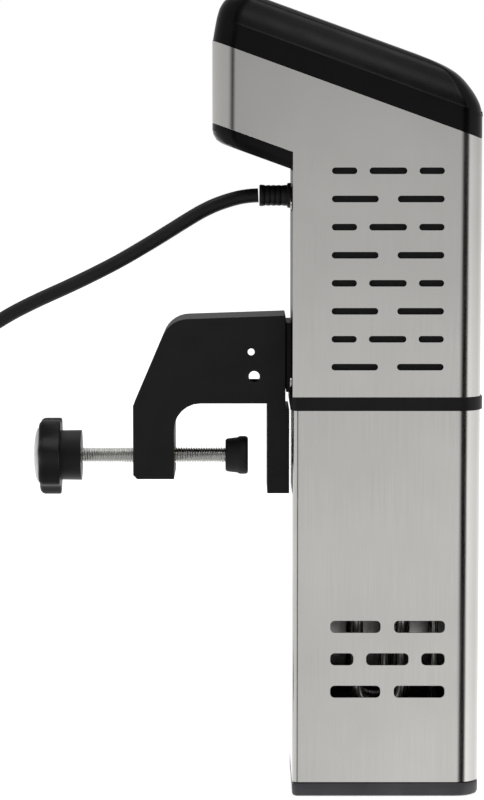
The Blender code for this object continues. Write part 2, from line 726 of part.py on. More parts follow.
def clamp_bracket():
    """Hook-shaped bracket: web on top, leg against the tower, arm with the screw boss."""
    front = PLATE_REAR - GAP
    leg_front = -47.3 * MM
    shelf = COLLAR_BOTTOM - 1.2 * MM
    outline = [(front, BRACKET_TOP + 0.6 * MM), (front, shelf), (leg_front, shelf),
               (leg_front, LEG_BOTTOM)]
    outline += [(JAW_X, LEG_BOTTOM), (JAW_X, WEB_BOTTOM)]
    outline += arc((ARM_INNER + 13 * MM, WEB_BOTTOM - 13 * MM), 13 * MM, 90, 180, 6)
    outline += [(ARM_INNER, ARM_BOTTOM)]
    outline += [(ARM_OUTER + 2 * MM, ARM_BOTTOM), (ARM_OUTER, ARM_BOTTOM + 2 * MM)]
    outline += [(ARM_OUTER, 191.3 * MM)]
    outline += arc((-97.0 * MM, BRACKET_TOP - 14.6 * MM), 13.6 * MM, 152, 90, 6)
    mesh = pulled_mesh("clamp_bracket", [outline], "y", -BRACKET_HALF, BRACKET_HALF)
    piece = place("clamp_bracket", mesh, black_plastic())
    cuts = [flared_hole((-66.1 * MM, 218.0 * MM), 1.7 * MM, -1.7 * MM, 3.9 * MM),
            flared_hole((-64.6 * MM, 205.9 * MM), 2.7 * MM, -2.2 * MM, 4.9 * MM),
            cylinder(INSERT_R + GAP, 40 * MM, ((ARM_INNER + ARM_OUTER) / 2, 0, SCREW_Z), "x", 24)]
    for z in BRACKET_SCREW_Z:
        cuts.append(cylinder(1.9 * MM, 30 * MM, (PLATE_REAR - 9 * MM, 0, z), "x", 12))
    boolean(piece, as_cutter("bracket_cuts", joined(cuts)))
    smooth(piece)


INSERT_R = 6.5 * MM


def clamp_fixings():
    """Threaded insert in the arm and the two screws that hold the bracket."""
    x = (ARM_INNER + ARM_OUTER) / 2
    length = ARM_INNER - ARM_OUTER - 1 * MM
    insert = place("threaded_insert", cylinder(INSERT_R, length, (x, 0, SCREW_Z), "x"), brass())
    bore = cylinder(SCREW_R + 0.2 * MM, 60 * MM, (x, 0, SCREW_Z), "x")
    boolean(insert, as_cutter("insert_bore", bore))
    for number, z in enumerate(BRACKET_SCREW_Z, 1):
        profile = [(0, 2.2), (3.6, 2.2), (3.6, 0), (1.5, 0), (1.5, -18), (0, -18)]
        profile = [(r * MM, along * MM) for r, along in profile]
        head_x = TOWER_REAR_X + PLASTIC + GAP
        turned(f"bracket_screw_{number}", profile, bright_steel(), (head_x, 0, z), "x", 12)


SCREW_LEFT = -168.5 * MM
SCREW_RIGHT = -72.3 * MM
KNOB_FACE = -171.6 * MM            # outer face, with the cap let into it
HUB_R = 12.5 * MM
HUB_LENGTH = 12 * MM
HUB_MIDDLE_X = -156.7 * MM
CAP_SEAT_R = 14.0 * MM
KNOB_SECTIONS = [  # place along X, mean radius and lobe height, in mm
    (-160.8, 17.4, 1.6), (-161.6, 18.0, 1.6), (-169.2, 18.0, 1.6), (-170.5, 16.8, 1.2),
    (-171.6, 14.8, 0.3)]
KNOB_LOBES = 7
LOBE_POINTS = 8


def lobed_solid(sections):
    """Solid through wavy rings about the screw's axis, with one lobe pointing down."""
    around = KNOB_LOBES * LOBE_POINTS
    bm = bmesh.new()
    rings = []
    for x, mean, lobe in sections:
        ring = []
        for i in range(around):
            turn = 2 * math.pi * i / around
            r = (mean + lobe * math.cos(KNOB_LOBES * turn)) * MM
            ring.append(bm.verts.new((x * MM, r * math.sin(turn), SCREW_Z - r * math.cos(turn))))
        rings.append(ring)
    skin(bm, rings)
    return finish_mesh(bm, "lobed_solid")


def clamp_screw():
    """Clamp screw with its knob, cap and swivel pad, all on one axis along X."""
    x = (SCREW_LEFT + SCREW_RIGHT) / 2
    rod = cylinder(SCREW_R, SCREW_RIGHT - SCREW_LEFT, (x, 0, SCREW_Z), "x", 20)
    screw = place("clamp_screw", rod, bright_steel())
    round_edges(screw, 0.8 * MM, 1)
    smooth(screw)
    knob = place("clamp_knob", lobed_solid(KNOB_SECTIONS), black_plastic())
    hub = cylinder(HUB_R, HUB_LENGTH, (HUB_MIDDLE_X, 0, SCREW_Z), "x", 32)
    boolean(knob, as_cutter("knob_hub", hub), "UNION")
    bore = cylinder(SCREW_R + GAP, 40 * MM, (SCREW_LEFT + 19.7 * MM, 0, SCREW_Z), "x")
    seat = cylinder(CAP_SEAT_R, 2 * MM, (KNOB_FACE, 0, SCREW_Z), "x", 32)
    boolean(knob, as_cutter("knob_bore", bore))
    boolean(knob, as_cutter("knob_seat", seat))
    smooth(knob)
    dome = [(0, 2.9), (6, 2.6), (10.5, 1.8), (13, 0.7), (13.7, -0.7), (0, -0.7)]
    dome = [(r * MM, -along * MM) for r, along in reversed(dome)]
    turned("knob_cap", dome, cap_plastic(), (KNOB_FACE, 0, SCREW_Z), "x", 32)
    pad = [(0, -67.6), (9.1, -67.6), (9.7, -68.2), (9.7, -72.0), (9.2, -73.0), (8.4, -78.2),
           (7.4, -78.9), (0, -78.9)]
    pad = [(r * MM, along * MM) for r, along in pad]
    plate = turned("pressure_pad", pad, rubber(), (0, 0, SCREW_Z), "x", 24)
    socket = cylinder(SCREW_R + GAP, 20 * MM, (-82 * MM, 0, SCREW_Z), "x")
    boolean(plate, as_cutter("pad_socket", socket))


# ---- Cord ---------------------------------------------------------------------------------
CORD_ROUTE = [  # mm, from the gland to where the coil begins
    (-62.5, 0, 294.2), (-67.4, 0, 293.9), (-73.6, 0, 292.8), (-81.9, 0, 290.2), (-88.9, 0, 287.1),
    (-96.5, 0, 282.8), (-115.1, -0.5, 271.3), (-132.5, -1, 261.2), (-152.4, -1.5, 251.2),
    (-174.5, -2.5, 241.1), (-189.2, -3.5, 233.3), (-203, -4.5, 223.8), (-214.8, -6, 212),
    (-223.8, -8, 197.5), (-229.8, -10.5, 180), (-233, -13, 159), (-234.3, -15.5, 135),
    (-234.6, -18, 110), (-234.6, -20, 85), (-234.6, -21.8, 64), (-234.6, -22.8, 45.2),
    (-237.6, -23.4, 29.9), (-246.1, -23.7, 16.9), (-259.1, -23.7, 8.2), (-274.4, -23.7, 5.2)]
CORD_STEPS = 2                    # tube points between two route points


def smooth_through(points, steps):
    """Catmull-Rom curve through the points."""
    path = [Vector(point) for point in points]
    ends = [2 * path[0] - path[1]] + path + [2 * path[-1] - path[-2]]
    made = []
    for a, b, c, d in zip(ends, ends[1:], ends[2:], ends[3:]):
        for i in range(steps):
            t = i / steps
            made.append(0.5 * (2 * b + (c - a) * t + (2 * a - 5 * b + 4 * c - d) * t * t
                               + (3 * b - a - 3 * c + d) * t ** 3))
    return made + [path[-1]]


def power_cord():
    points = [point * MM for point in smooth_through(CORD_ROUTE, CORD_STEPS)]
    tube("power_cord", points, CORD_R, rubber())


def cord_gland():
    """Strain relief through the rear panel, tapering to the cord."""
    profile = [(0, -40.5), (6.5, -40.5), (6.5, -43.2), (4.3, -43.2), (4.3, -46.3), (6.2, -46.3),
               (6.2, -47.8), (5.2, -48.2), (5.0, -57.0), (5.4, -60.5), (5.2, -62.0), (0, -62.0)]
    profile = [(r * MM, along * MM) for r, along in profile]
    turned("cord_gland", profile, rubber(), (0, 0, GLAND_Z), "x", 20)


def cord_coil():
    """Outer shape of the stored coil, a ring turned from a rounded square."""
    half, low, high = COIL_HALF_BAND, COIL_BOTTOM, COIL_TOP
    chamfer = 3 * MM
    mid = COIL_MEAN_R
    profile = [(mid + half, high - chamfer), (mid + half, low + chamfer),
               (mid + half - chamfer, low), (mid - half + chamfer, low),
               (mid - half, low + chamfer), (mid - half, high - chamfer),
               (mid - half + chamfer, high), (mid + half - chamfer, high),
               (mid + half, high - chamfer)]
    turned("cord_coil", profile, rubber(), (COIL_X, COIL_Y, 0), "z", 32)


def cord_tie():
    """Strap round the coil's bundle."""
    x0, x1 = COIL_X - COIL_MEAN_R - 7.8 * MM, COIL_X - COIL_MEAN_R + 7.8 * MM
    outer = rounded_rectangle((x0 - 0.8 * MM, 0.1 * MM), (x1 + 0.8 * MM, 16.9 * MM), (1.2 * MM,) * 4, 2)
    inner = rounded_rectangle((x0, 0.9 * MM), (x1, 16.0 * MM), (0.6 * MM,) * 4, 2)
    y = COIL_Y
    piece = place("cord_tie", pulled_mesh("cord_tie", [outer], "y", y - 3 * MM, y + 3 * MM), rubber())
    hole = pulled_mesh("tie_hole", [inner], "y", y - 9 * MM, y + 9 * MM)
    boolean(piece, as_cutter("tie_hole", hole))


PLUG_Y = COIL_Y + 41.7 * MM
PLUG_Z = 11.9 * MM


def plug():
    """Moulded mains plug with two flat blades and a round earth pin."""
    body = place("plug_body", block((-250 * MM, PLUG_Y - 12 * MM, PLUG_Z - 11.6 * MM),
                                    (-227 * MM, PLUG_Y + 12 * MM, PLUG_Z + 11.6 * MM)), rubber())
    round_edges(body, 3 * MM, 3)
    bm = bmesh.new()
    boot = bmesh.ops.create_cone(bm, cap_ends=True, segments=20, radius1=5.6 * MM,
                                 radius2=8.8 * MM, depth=22.5 * MM)
    turn = Matrix.Translation((-260.25 * MM, PLUG_Y, PLUG_Z)) @ Matrix.Rotation(math.pi / 2, 4, "Y")
    bmesh.ops.transform(bm, matrix=turn, verts=boot["verts"])
    boolean(body, as_cutter("plug_boot", finish_mesh(bm, "plug_boot")), "UNION")
    x0, x1 = -226.7 * MM, -211 * MM
    for number, side in ((1, -1), (2, 1)):
        y = PLUG_Y + side * 6.35 * MM
        z = PLUG_Z + 3 * MM
        low, high = (x0, y - 0.8 * MM, z - 3.2 * MM), (x1, y + 0.8 * MM, z + 3.2 * MM)
        place(f"plug_blade_{number}", block(low, high), brass())
    centre = ((x0 + x1) / 2, PLUG_Y, PLUG_Z - 5 * MM)
    place("plug_earth_pin", cylinder(2.4 * MM, x1 - x0, centre, "x", 16), brass())


def main():
    start_clean()
    for build in (upper_housing, vent_screens, rear_panel, panel_screws, head_trim, top_cover,
                  display_panel, control_board, collar, sleeve_seal, lower_sleeve, base_cap, heater_element,
                  heater_nuts, probes, motor, rotor, electronics, clamp_mount_plate, clamp_bracket,
                  clamp_fixings, clamp_screw, power_cord, cord_gland, cord_coil, cord_tie, plug):
        build()


main()
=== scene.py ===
"""Looks of the sous vide circulator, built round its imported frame."""
import math

import bmesh
import bpy
from mathutils import Matrix, Vector


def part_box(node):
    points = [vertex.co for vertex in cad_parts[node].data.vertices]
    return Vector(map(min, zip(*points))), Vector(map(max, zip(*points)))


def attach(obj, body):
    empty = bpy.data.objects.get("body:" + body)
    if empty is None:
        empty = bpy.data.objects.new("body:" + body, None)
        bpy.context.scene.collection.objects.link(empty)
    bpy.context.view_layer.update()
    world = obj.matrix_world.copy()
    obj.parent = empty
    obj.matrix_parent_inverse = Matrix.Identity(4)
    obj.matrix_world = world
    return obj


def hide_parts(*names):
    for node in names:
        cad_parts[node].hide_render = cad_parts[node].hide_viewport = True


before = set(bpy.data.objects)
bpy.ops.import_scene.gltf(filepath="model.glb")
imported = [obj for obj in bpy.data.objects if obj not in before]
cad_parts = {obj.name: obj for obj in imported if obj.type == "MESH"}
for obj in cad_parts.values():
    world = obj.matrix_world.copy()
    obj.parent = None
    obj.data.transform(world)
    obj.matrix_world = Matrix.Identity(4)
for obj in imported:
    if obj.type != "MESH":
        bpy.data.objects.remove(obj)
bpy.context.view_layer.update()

MM = 0.001
TOUCHING = 0.000002               # metres; vertices nearer than this are one
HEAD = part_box("upper_housing")
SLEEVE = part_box("lower_sleeve")
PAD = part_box("pressure_pad")
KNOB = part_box("clamp_knob")
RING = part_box("cord_coil")
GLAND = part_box("cord_gland")
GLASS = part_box("display_panel")


# ---- Colours and shader nodes -------------------------------------------------------------
def linear(hex_colour):
    """An sRGB hex value as linear red, green, blue and a full alpha."""
    values = []
    for i in (1, 3, 5):
        part = int(hex_colour[i:i + 2], 16) / 255
        values.append(part / 12.92 if part <= 0.04045 else ((part + 0.055) / 1.055) ** 2.4)
    return (*values, 1.0)


def node(tree, kind, settings=None, **inputs):
    """Add one shader node; inputs are sockets to link or values to set, by socket name."""
    made = tree.nodes.new(kind)
    for name, value in (settings or {}).items():
        setattr(made, name, value)
    for name, value in inputs.items():
        socket = made.inputs[name.replace("_", " ")] if name.replace("_", " ") in made.inputs \
            else made.inputs[int(name[1:])]
        if isinstance(value, bpy.types.NodeSocket):
            tree.links.new(value, socket)
        else:
            socket.default_value = value
    return made


def surface(name, colour, roughness, metallic=0.0, **settings):
    """A material with its Principled shader; returns material, tree and shader."""
    made = bpy.data.materials.new(name)
    made.use_nodes = True
    tree = made.node_tree
    shader = tree.nodes["Principled BSDF"]
    shader.inputs["Base Color"].default_value = linear(colour)
    shader.inputs["Roughness"].default_value = roughness
    shader.inputs["Metallic"].default_value = metallic
    for socket, value in settings.items():
        shader.inputs[socket.replace("_", " ")].default_value = value
    return made, tree, shader


def grain(tree, per_metre, stretch=(1, 1, 1), detail=3.0):
    """Noise on object coordinates, per_metre features, squeezed by stretch."""
    place = node(tree, "ShaderNodeTexCoord")
    scaled = node(tree, "ShaderNodeMapping", Vector=place.outputs["Object"], Scale=stretch)
    return node(tree, "ShaderNodeTexNoise", Vector=scaled.outputs["Vector"], Scale=per_metre,
                Detail=detail)


def vary_colour(tree, shader, noise, dark, light):
    """Let the noise move the base colour between two close tones."""
    ramp = node(tree, "ShaderNodeValToRGB", Fac=noise.outputs["Fac"])
    ramp.color_ramp.elements[0].position = 0.3
    ramp.color_ramp.elements[0].color = linear(dark)
    ramp.color_ramp.elements[1].position = 0.7
    ramp.color_ramp.elements[1].color = linear(light)
    tree.links.new(ramp.outputs["Color"], shader.inputs["Base Color"])


def vary_roughness(tree, shader, noise, low, high):
    """Let the noise move the roughness between low and high."""
    spread = node(tree, "ShaderNodeMapRange", Value=noise.outputs["Fac"])
    spread.inputs["From Min"].default_value = 0.3
    spread.inputs["From Max"].default_value = 0.7
    spread.inputs["To Min"].default_value = low
    spread.inputs["To Max"].default_value = high
    tree.links.new(spread.outputs["Result"], shader.inputs["Roughness"])


def raise_bump(tree, shader, noise, height, strength=0.5):
    """Let the noise stand up from the surface, height in metres."""
    bump = node(tree, "ShaderNodeBump", Height=noise.outputs["Fac"], Distance=height,
                Strength=strength)
    tree.links.new(bump.outputs["Normal"], shader.inputs["Normal"])


# ---- Materials ----------------------------------------------------------------------------
def brushed_stainless():
    """304 sheet, satin brushed along the tower: long fine streaks, broad soft reflections.

    Real scratches are 0.05 mm apart; these are 0.5 mm, so that they show.
    """
    made, tree, shader = surface("brushed_stainless", "#CBCAC7", 0.2, 1.0)
    streaks = grain(tree, 2000, (1, 1, 0.012))
    clouds = grain(tree, 16)
    vary_colour(tree, shader, clouds, "#C4C3C0", "#CDCCC9")
    vary_roughness(tree, shader, streaks, 0.18, 0.23)
    raise_bump(tree, shader, streaks, 0.00002, 0.12)
    return made


def plated_steel():
    """Zinc plated turned steel: bright, with faint rings from the tool, 0.3 mm apart."""
    made, tree, shader = surface("plated_steel", "#C9C9C6", 0.22, 1.0)
    rings = grain(tree, 3300, (1, 0.05, 0.05))
    vary_roughness(tree, shader, rings, 0.16, 0.30)
    raise_bump(tree, shader, rings, 0.00001, 0.2)
    return made


def drawn_steel():
    """Drawn stainless tube and rod: smooth with fine lines along it, 0.7 mm apart."""
    made, tree, shader = surface("drawn_steel", "#C4C2BE", 0.25, 1.0)
    lines = grain(tree, 1500, (1, 1, 0.03))
    vary_roughness(tree, shader, lines, 0.2, 0.34)
    return made


def spark_eroded_abs():
    """Black ABS from a finely textured mould: satin, 0.4 mm grain."""
    made, tree, shader = surface("spark_eroded_abs", "#0E0E0F", 0.46, 0.0, Specular_IOR_Level=0.2)
    texture = grain(tree, 2500)
    tone = grain(tree, 40)
    vary_colour(tree, shader, tone, "#0C0C0D", "#111112")
    vary_roughness(tree, shader, texture, 0.36, 0.5)
    raise_bump(tree, shader, texture, 0.00004, 0.3)
    return made


def polished_abs():
    """Black ABS from a polished mould, as on the head: soft clear reflections."""
    made, tree, shader = surface("polished_abs", "#050506", 0.24, 0.0, Specular_IOR_Level=0.14)
    wear = grain(tree, 90)
    vary_colour(tree, shader, wear, "#050506", "#080809")
    vary_roughness(tree, shader, wear, 0.2, 0.3)
    fine = grain(tree, 1800)
    raise_bump(tree, shader, fine, 0.00001, 0.2)
    return made


def glass_filled_nylon():
    """Black nylon with short glass fibre, as in clamps: dull, slightly mottled, 0.6 mm grain."""
    made, tree, shader = surface("glass_filled_nylon", "#0E0E0E", 0.5, 0.0, Specular_IOR_Level=0.24)
    mottle = grain(tree, 1600, (1, 1, 1), 5.0)
    tone = grain(tree, 60)
    vary_colour(tree, shader, tone, "#0C0C0C", "#121212")
    vary_roughness(tree, shader, mottle, 0.45, 0.62)
    raise_bump(tree, shader, mottle, 0.00006, 0.35)
    return made


def grey_polypropylene():
    """Dark grey moulded polypropylene of the base cap, 0.5 mm grain."""
    made, tree, shader = surface("grey_polypropylene", "#3A393E", 0.45, 0.0, IOR=1.49)
    texture = grain(tree, 2000)
    tone = grain(tree, 50)
    vary_colour(tree, shader, tone, "#343338", "#3F3E43")
    vary_roughness(tree, shader, texture, 0.38, 0.52)
    raise_bump(tree, shader, texture, 0.00004, 0.3)
    return made


def painted_highlight_grey_acetal():
    """Light grey acetal of the knob's cap: waxy gloss. The light grey is a painted highlight, standing
    in for the white backdrop reflected at grazing angles on the knob's black domed end.
    """
    made, tree, shader = surface("painted_highlight_grey_acetal", "#C9C8C6", 0.3, 0.0, IOR=1.48)
    tone = grain(tree, 120)
    vary_colour(tree, shader, tone, "#C2C1BF", "#CFCECC")
    vary_roughness(tree, shader, tone, 0.25, 0.36)
    return made


def soft_pvc():
    """Black plasticised PVC of the cord, gland and plug: dull, with a fine 0.5 mm skin."""
    made, tree, shader = surface("soft_pvc", "#0F0F0F", 0.5, 0.0, Specular_IOR_Level=0.3)
    skin = grain(tree, 2000, (1, 1, 1), 2.0)
    tone = grain(tree, 70)
    vary_colour(tree, shader, tone, "#0C0C0C", "#131313")
    vary_roughness(tree, shader, skin, 0.42, 0.58)
    raise_bump(tree, shader, skin, 0.00003, 0.3)
    return made


def black_rubber():
    """Moulded nitrile rubber of pad, seals and bearing shields: matt, 0.7 mm grain."""
    made, tree, shader = surface("black_rubber", "#101010", 0.65, 0.0, Specular_IOR_Level=0.3)
    texture = grain(tree, 1400)
    vary_colour(tree, shader, texture, "#0E0E0E", "#151515")
    vary_roughness(tree, shader, texture, 0.58, 0.75)
    raise_bump(tree, shader, texture, 0.00005, 0.35)
    return made


def printed_glass():
    """Toughened glass printed black behind: deep, mirror smooth, faint smears."""
    made, tree, shader = surface("printed_glass", "#050506", 0.04, 0.0, IOR=1.52, Coat_Weight=0.5)
    smears = grain(tree, 30, (1, 1, 1), 4.0)
    vary_roughness(tree, shader, smears, 0.03, 0.09)
    vary_colour(tree, shader, smears, "#050506", "#070709")
    return made


def lit_segment():
    """Lit segments of the display: even, faintly blue white."""
    made, tree, shader = surface("lit_segment", "#DDEBF2", 0.3)
    shader.inputs["Emission Strength"].default_value = 0.8
    glow = grain(tree, 300)
    ramp = node(tree, "ShaderNodeValToRGB", Fac=glow.outputs["Fac"])
    ramp.color_ramp.elements[0].color = linear("#BFD6E2")
    ramp.color_ramp.elements[1].color = linear("#E4F2F8")
    tree.links.new(ramp.outputs["Color"], shader.inputs["Emission Color"])
    return made


def turned_brass():
    """Turned brass of nuts, posts, insert and plug pins: yellow, faint rings 0.4 mm apart."""
    made, tree, shader = surface("turned_brass", "#C9A765", 0.26, 1.0)
    rings = grain(tree, 2500, (1, 0.1, 0.1))
    vary_colour(tree, shader, rings, "#C0A05E", "#D0B070")
    vary_roughness(tree, shader, rings, 0.2, 0.34)
    return made


def solder_mask():
    """Green epoxy mask on glass laminate: glossy, with darker copper areas below."""
    made, tree, shader = surface("solder_mask", "#0E4A2A", 0.35, 0.0, IOR=1.55)
    areas = grain(tree, 220, (1, 1, 1), 0.0)
    vary_colour(tree, shader, areas, "#0B3D23", "#14603A")
    vary_roughness(tree, shader, areas, 0.3, 0.42)
    return made


def extruded_aluminium():
    """Extruded aluminium of the heat sink: slightly frosted, 1.1 mm grain."""
    made, tree, shader = surface("extruded_aluminium", "#B9BABC", 0.4, 1.0)
    frost = grain(tree, 900)
    vary_roughness(tree, shader, frost, 0.34, 0.48)
    return made


def varnished_winding():
    """Enamelled copper wire under varnish: warm, ribbed 0.8 mm apart."""
    made, tree, shader = surface("varnished_winding", "#8A4B2A", 0.35, 0.7)
    ribs = grain(tree, 1200, (0.05, 0.05, 1))
    vary_colour(tree, shader, ribs, "#6E381E", "#9C5832")
    raise_bump(tree, shader, ribs, 0.0002, 0.5)
    return made


STAINLESS = brushed_stainless()
PLATED = plated_steel()
DRAWN = drawn_steel()
TEXTURED = spark_eroded_abs()
POLISHED = polished_abs()
NYLON = glass_filled_nylon()
GREY = grey_polypropylene()
# light grey of the knob's cap: a painted highlight for the grazing reflection on the knob's domed end
CAP_PAINTED_HIGHLIGHT = painted_highlight_grey_acetal()
PVC = soft_pvc()
RUBBER = black_rubber()
BLACK_GLASS = printed_glass()
SEGMENT = lit_segment()
BRASS = turned_brass()
MASK = solder_mask()
ALUMINIUM = extruded_aluminium()
WINDING = varnished_winding()


# ---- Shaping helpers ----------------------------------------------------------------------
def piece_from(name, bm, finish, body, *stands_for, sharp=35):
    """Turn a bmesh into a finished piece that rides on a body."""
    bmesh.ops.remove_doubles(bm, verts=bm.verts, dist=TOUCHING)
    bmesh.ops.recalc_face_normals(bm, faces=bm.faces)
    mesh = bpy.data.meshes.new(name)
    bm.to_mesh(mesh)
    bm.free()
    mesh.shade_smooth()
    mesh.set_sharp_from_angle(angle=math.radians(sharp))
    return placed(name, mesh, finish, body, *stands_for)


def placed(name, mesh, finish, body, *stands_for):
    """Put a mesh in the scene as a piece on a body, hiding the nodes that it stands for."""
    mesh.materials.clear()
    mesh.materials.append(finish)
    made = bpy.data.objects.new(name, mesh)
    bpy.context.scene.collection.objects.link(made)
    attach(made, body)
    if stands_for:
        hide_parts(*stands_for)
    return made


def soften(made, width, segments=2, angle=30):
    """Round a piece's edges, shading them into the flats."""
    step = made.modifiers.new("edges", "BEVEL")
    step.width = width
    step.segments = segments
    step.limit_method = "ANGLE"
    step.angle_limit = math.radians(angle)
    step.use_clamp_overlap = True
    step.harden_normals = True
    return made


def from_frame(node_name, finish, body, width=0.0, segments=2, name=None, sharp=35):
    """A copy of a CAD node, merged into whole faces, with its edges softened."""
    bm = bmesh.new()
    bm.from_mesh(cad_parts[node_name].data)
    bmesh.ops.remove_doubles(bm, verts=bm.verts, dist=TOUCHING)
    bmesh.ops.dissolve_limit(bm, angle_limit=math.radians(0.5), verts=bm.verts, edges=bm.edges)
    made = piece_from(name or node_name + "_piece", bm, finish, body, node_name, sharp=sharp)
    if width:
        soften(made, width, segments)
    return made


def column(low, high, corners, segments=12):
    """An upright box with its vertical edges rounded; corners maps (right, back) to a radius."""
    bm = bmesh.new()
    low, high = Vector(low), Vector(high)
    size = Matrix.Diagonal((*(high - low), 1.0))
    bmesh.ops.create_cube(bm, size=1, matrix=Matrix.Translation((low + high) / 2) @ size)
    middle = (low + high) / 2
    for (right, back), radius in corners.items():
        edges = [e for e in bm.edges
                 if abs(e.verts[0].co.z - e.verts[1].co.z) > 0.5 * (high.z - low.z)
                 and (e.verts[0].co.x > middle.x) == right and (e.verts[0].co.y > middle.y) == back
                 and abs(e.verts[0].co.x - (high.x if right else low.x)) < 1e-6
                 and abs(e.verts[0].co.y - (high.y if back else low.y)) < 1e-6]
        bmesh.ops.bevel(bm, geom=edges, offset=radius, segments=segments, profile=0.5,
                        affect="EDGES", material=-1, offset_type="OFFSET")
    return bm


def add_cylinder(bm, radius, depth, centre, axis="z", sides=32, tip=None):
    """A cylinder or cone inside a bmesh, its middle at centre."""
    turn = {"x": Matrix.Rotation(math.pi / 2, 4, "Y"), "y": Matrix.Rotation(math.pi / 2, 4, "X"),
            "z": Matrix.Identity(4)}[axis]
    return bmesh.ops.create_cone(bm, cap_ends=True, segments=sides, radius1=radius,
                                 radius2=radius if tip is None else tip, depth=depth,
                                 matrix=Matrix.Translation(centre) @ turn)["verts"]


def turned(profile, centre, axis="z", steps=48):
    """Spin a profile of (radius, along) points a full turn round an axis."""
    bm = bmesh.new()
    verts = [bm.verts.new((r, 0, along)) for r, along in profile]
    edges = [bm.edges.new(pair) for pair in zip(verts, verts[1:])]
    bmesh.ops.spin(bm, geom=verts + edges, cent=(0, 0, 0), axis=(0, 0, 1), angle=2 * math.pi,
                   steps=steps, use_merge=True)
    bmesh.ops.remove_doubles(bm, verts=bm.verts, dist=TOUCHING)
    turn = Matrix.Rotation(math.pi / 2, 4, "Y") if axis == "x" else Matrix.Identity(4)
    bmesh.ops.transform(bm, matrix=Matrix.Translation(centre) @ turn, verts=bm.verts)
    return bm


def cut_with(made, tools, operation="DIFFERENCE"):
    """Cut a piece with a list of bmeshes and keep the result as its mesh."""
    made_tools = []
    for number, bm in enumerate(tools):
        bmesh.ops.recalc_face_normals(bm, faces=bm.faces)
        mesh = bpy.data.meshes.new(f"tool_{number}")
        bm.to_mesh(mesh)
        bm.free()
        tool = bpy.data.objects.new(f"tool_{number}", mesh)
        bpy.context.scene.collection.objects.link(tool)
        step = made.modifiers.new(tool.name, "BOOLEAN")
        step.operation = operation
        step.object = tool
        made_tools.append(tool)
    shape = bpy.data.meshes.new_from_object(made.evaluated_get(bpy.context.evaluated_depsgraph_get()))
    made.modifiers.clear()
    made.data = shape
    for tool in made_tools:
        bpy.data.objects.remove(tool, do_unlink=True)
    bm = bmesh.new()
    bm.from_mesh(shape)
    bmesh.ops.remove_doubles(bm, verts=bm.verts, dist=0.000005)
    bmesh.ops.dissolve_degenerate(bm, dist=TOUCHING, edges=bm.edges)
    bm.to_mesh(shape)
    bm.free()
    shape.shade_smooth()
    shape.set_sharp_from_angle(angle=math.radians(35))
    return made


# ---- Steel shells -------------------------------------------------------------------------
STEEL = 1.0 * MM
CORNER_R = 11.5 * MM
HEEL_R = 3 * MM                   # rear corners of the sleeve
SLOPE = math.tan(math.radians(19.9))
SEAM_AT_AXIS = HEAD[1].z + SLOPE * HEAD[0].x


def seam_z(x):
    """Height of the seam between the steel head and its cover."""
    return SEAM_AT_AXIS - SLOPE * x


def open_tube(bm):
    """Remove the end faces of an upright column, leaving its wall."""
    bm.normal_update()
    ends = [f for f in bm.faces if abs(f.normal.z) > 0.9]
    bmesh.ops.delete(bm, geom=ends, context="FACES_ONLY")
    return bm


def walled(made, thickness=STEEL, even=True):
    """Give an open surface a wall on its inner side."""
    step = made.modifiers.new("wall", "SOLIDIFY")
    step.thickness = thickness
    step.offset = -1
    step.use_even_offset = even
    return made


def profile_solid(points, y0, y1):
    """A flat side-view outline (x, z) pulled across the device."""
    bm = bmesh.new()
    face = bm.faces.new([bm.verts.new((x, y0, z)) for x, z in points])
    grown = bmesh.ops.extrude_face_region(bm, geom=[face])["geom"]
    moved = [v for v in grown if isinstance(v, bmesh.types.BMVert)]
    bmesh.ops.translate(bm, verts=moved, vec=(0, y1 - y0, 0))
    return bm


def slot_tool(spans, z, height, corner, y0, y1):
    """Cutter for one row of slots with rounded ends, each a bevelled box."""
    bm = bmesh.new()
    for x0, x1 in spans:
        size = Matrix.Diagonal((x1 - x0, y1 - y0, height, 1))
        centre = Matrix.Translation(((x0 + x1) / 2, (y0 + y1) / 2, z))
        verts = bmesh.ops.create_cube(bm, size=1, matrix=centre @ size)["verts"]
        edges = {e for v in verts for e in v.link_edges
                 if abs(e.verts[0].co.y - e.verts[1].co.y) > 0.5 * (y1 - y0)}
        bmesh.ops.bevel(bm, geom=list(edges), offset=corner, segments=6, profile=0.5,
                        affect="EDGES", material=-1)
    return bm


VENT_PITCH = 13.57 * MM
TOP_VENT_Z = 307.0 * MM
THREE_VENTS = [(-27.2 * MM, -15.0 * MM), (-9.1 * MM, 9.1 * MM), (15.0 * MM, 27.2 * MM)]
TWO_VENTS = [(-27.2 * MM, -4.6 * MM), (4.6 * MM, 27.2 * MM)]
WATER_PITCH = 16.1 * MM
TOP_WATER_Z = 84.5 * MM
TWO_WATER = [(-27.4 * MM, -2.8 * MM), (3.8 * MM, 28.7 * MM)]
THREE_WATER = [(-27.4 * MM, -16.0 * MM), (-9.8 * MM, 11.0 * MM), (17.2 * MM, 28.7 * MM)]
VENT_SLOT = (3.2 * MM, 1.58 * MM)   # height, end radius
WATER_SLOT = (6.0 * MM, 2.2 * MM)
TRIM_TOP = 316.1 * MM               # where the head trim meets the tower
PAST = 20 * MM                      # how far a cutter runs past a wall


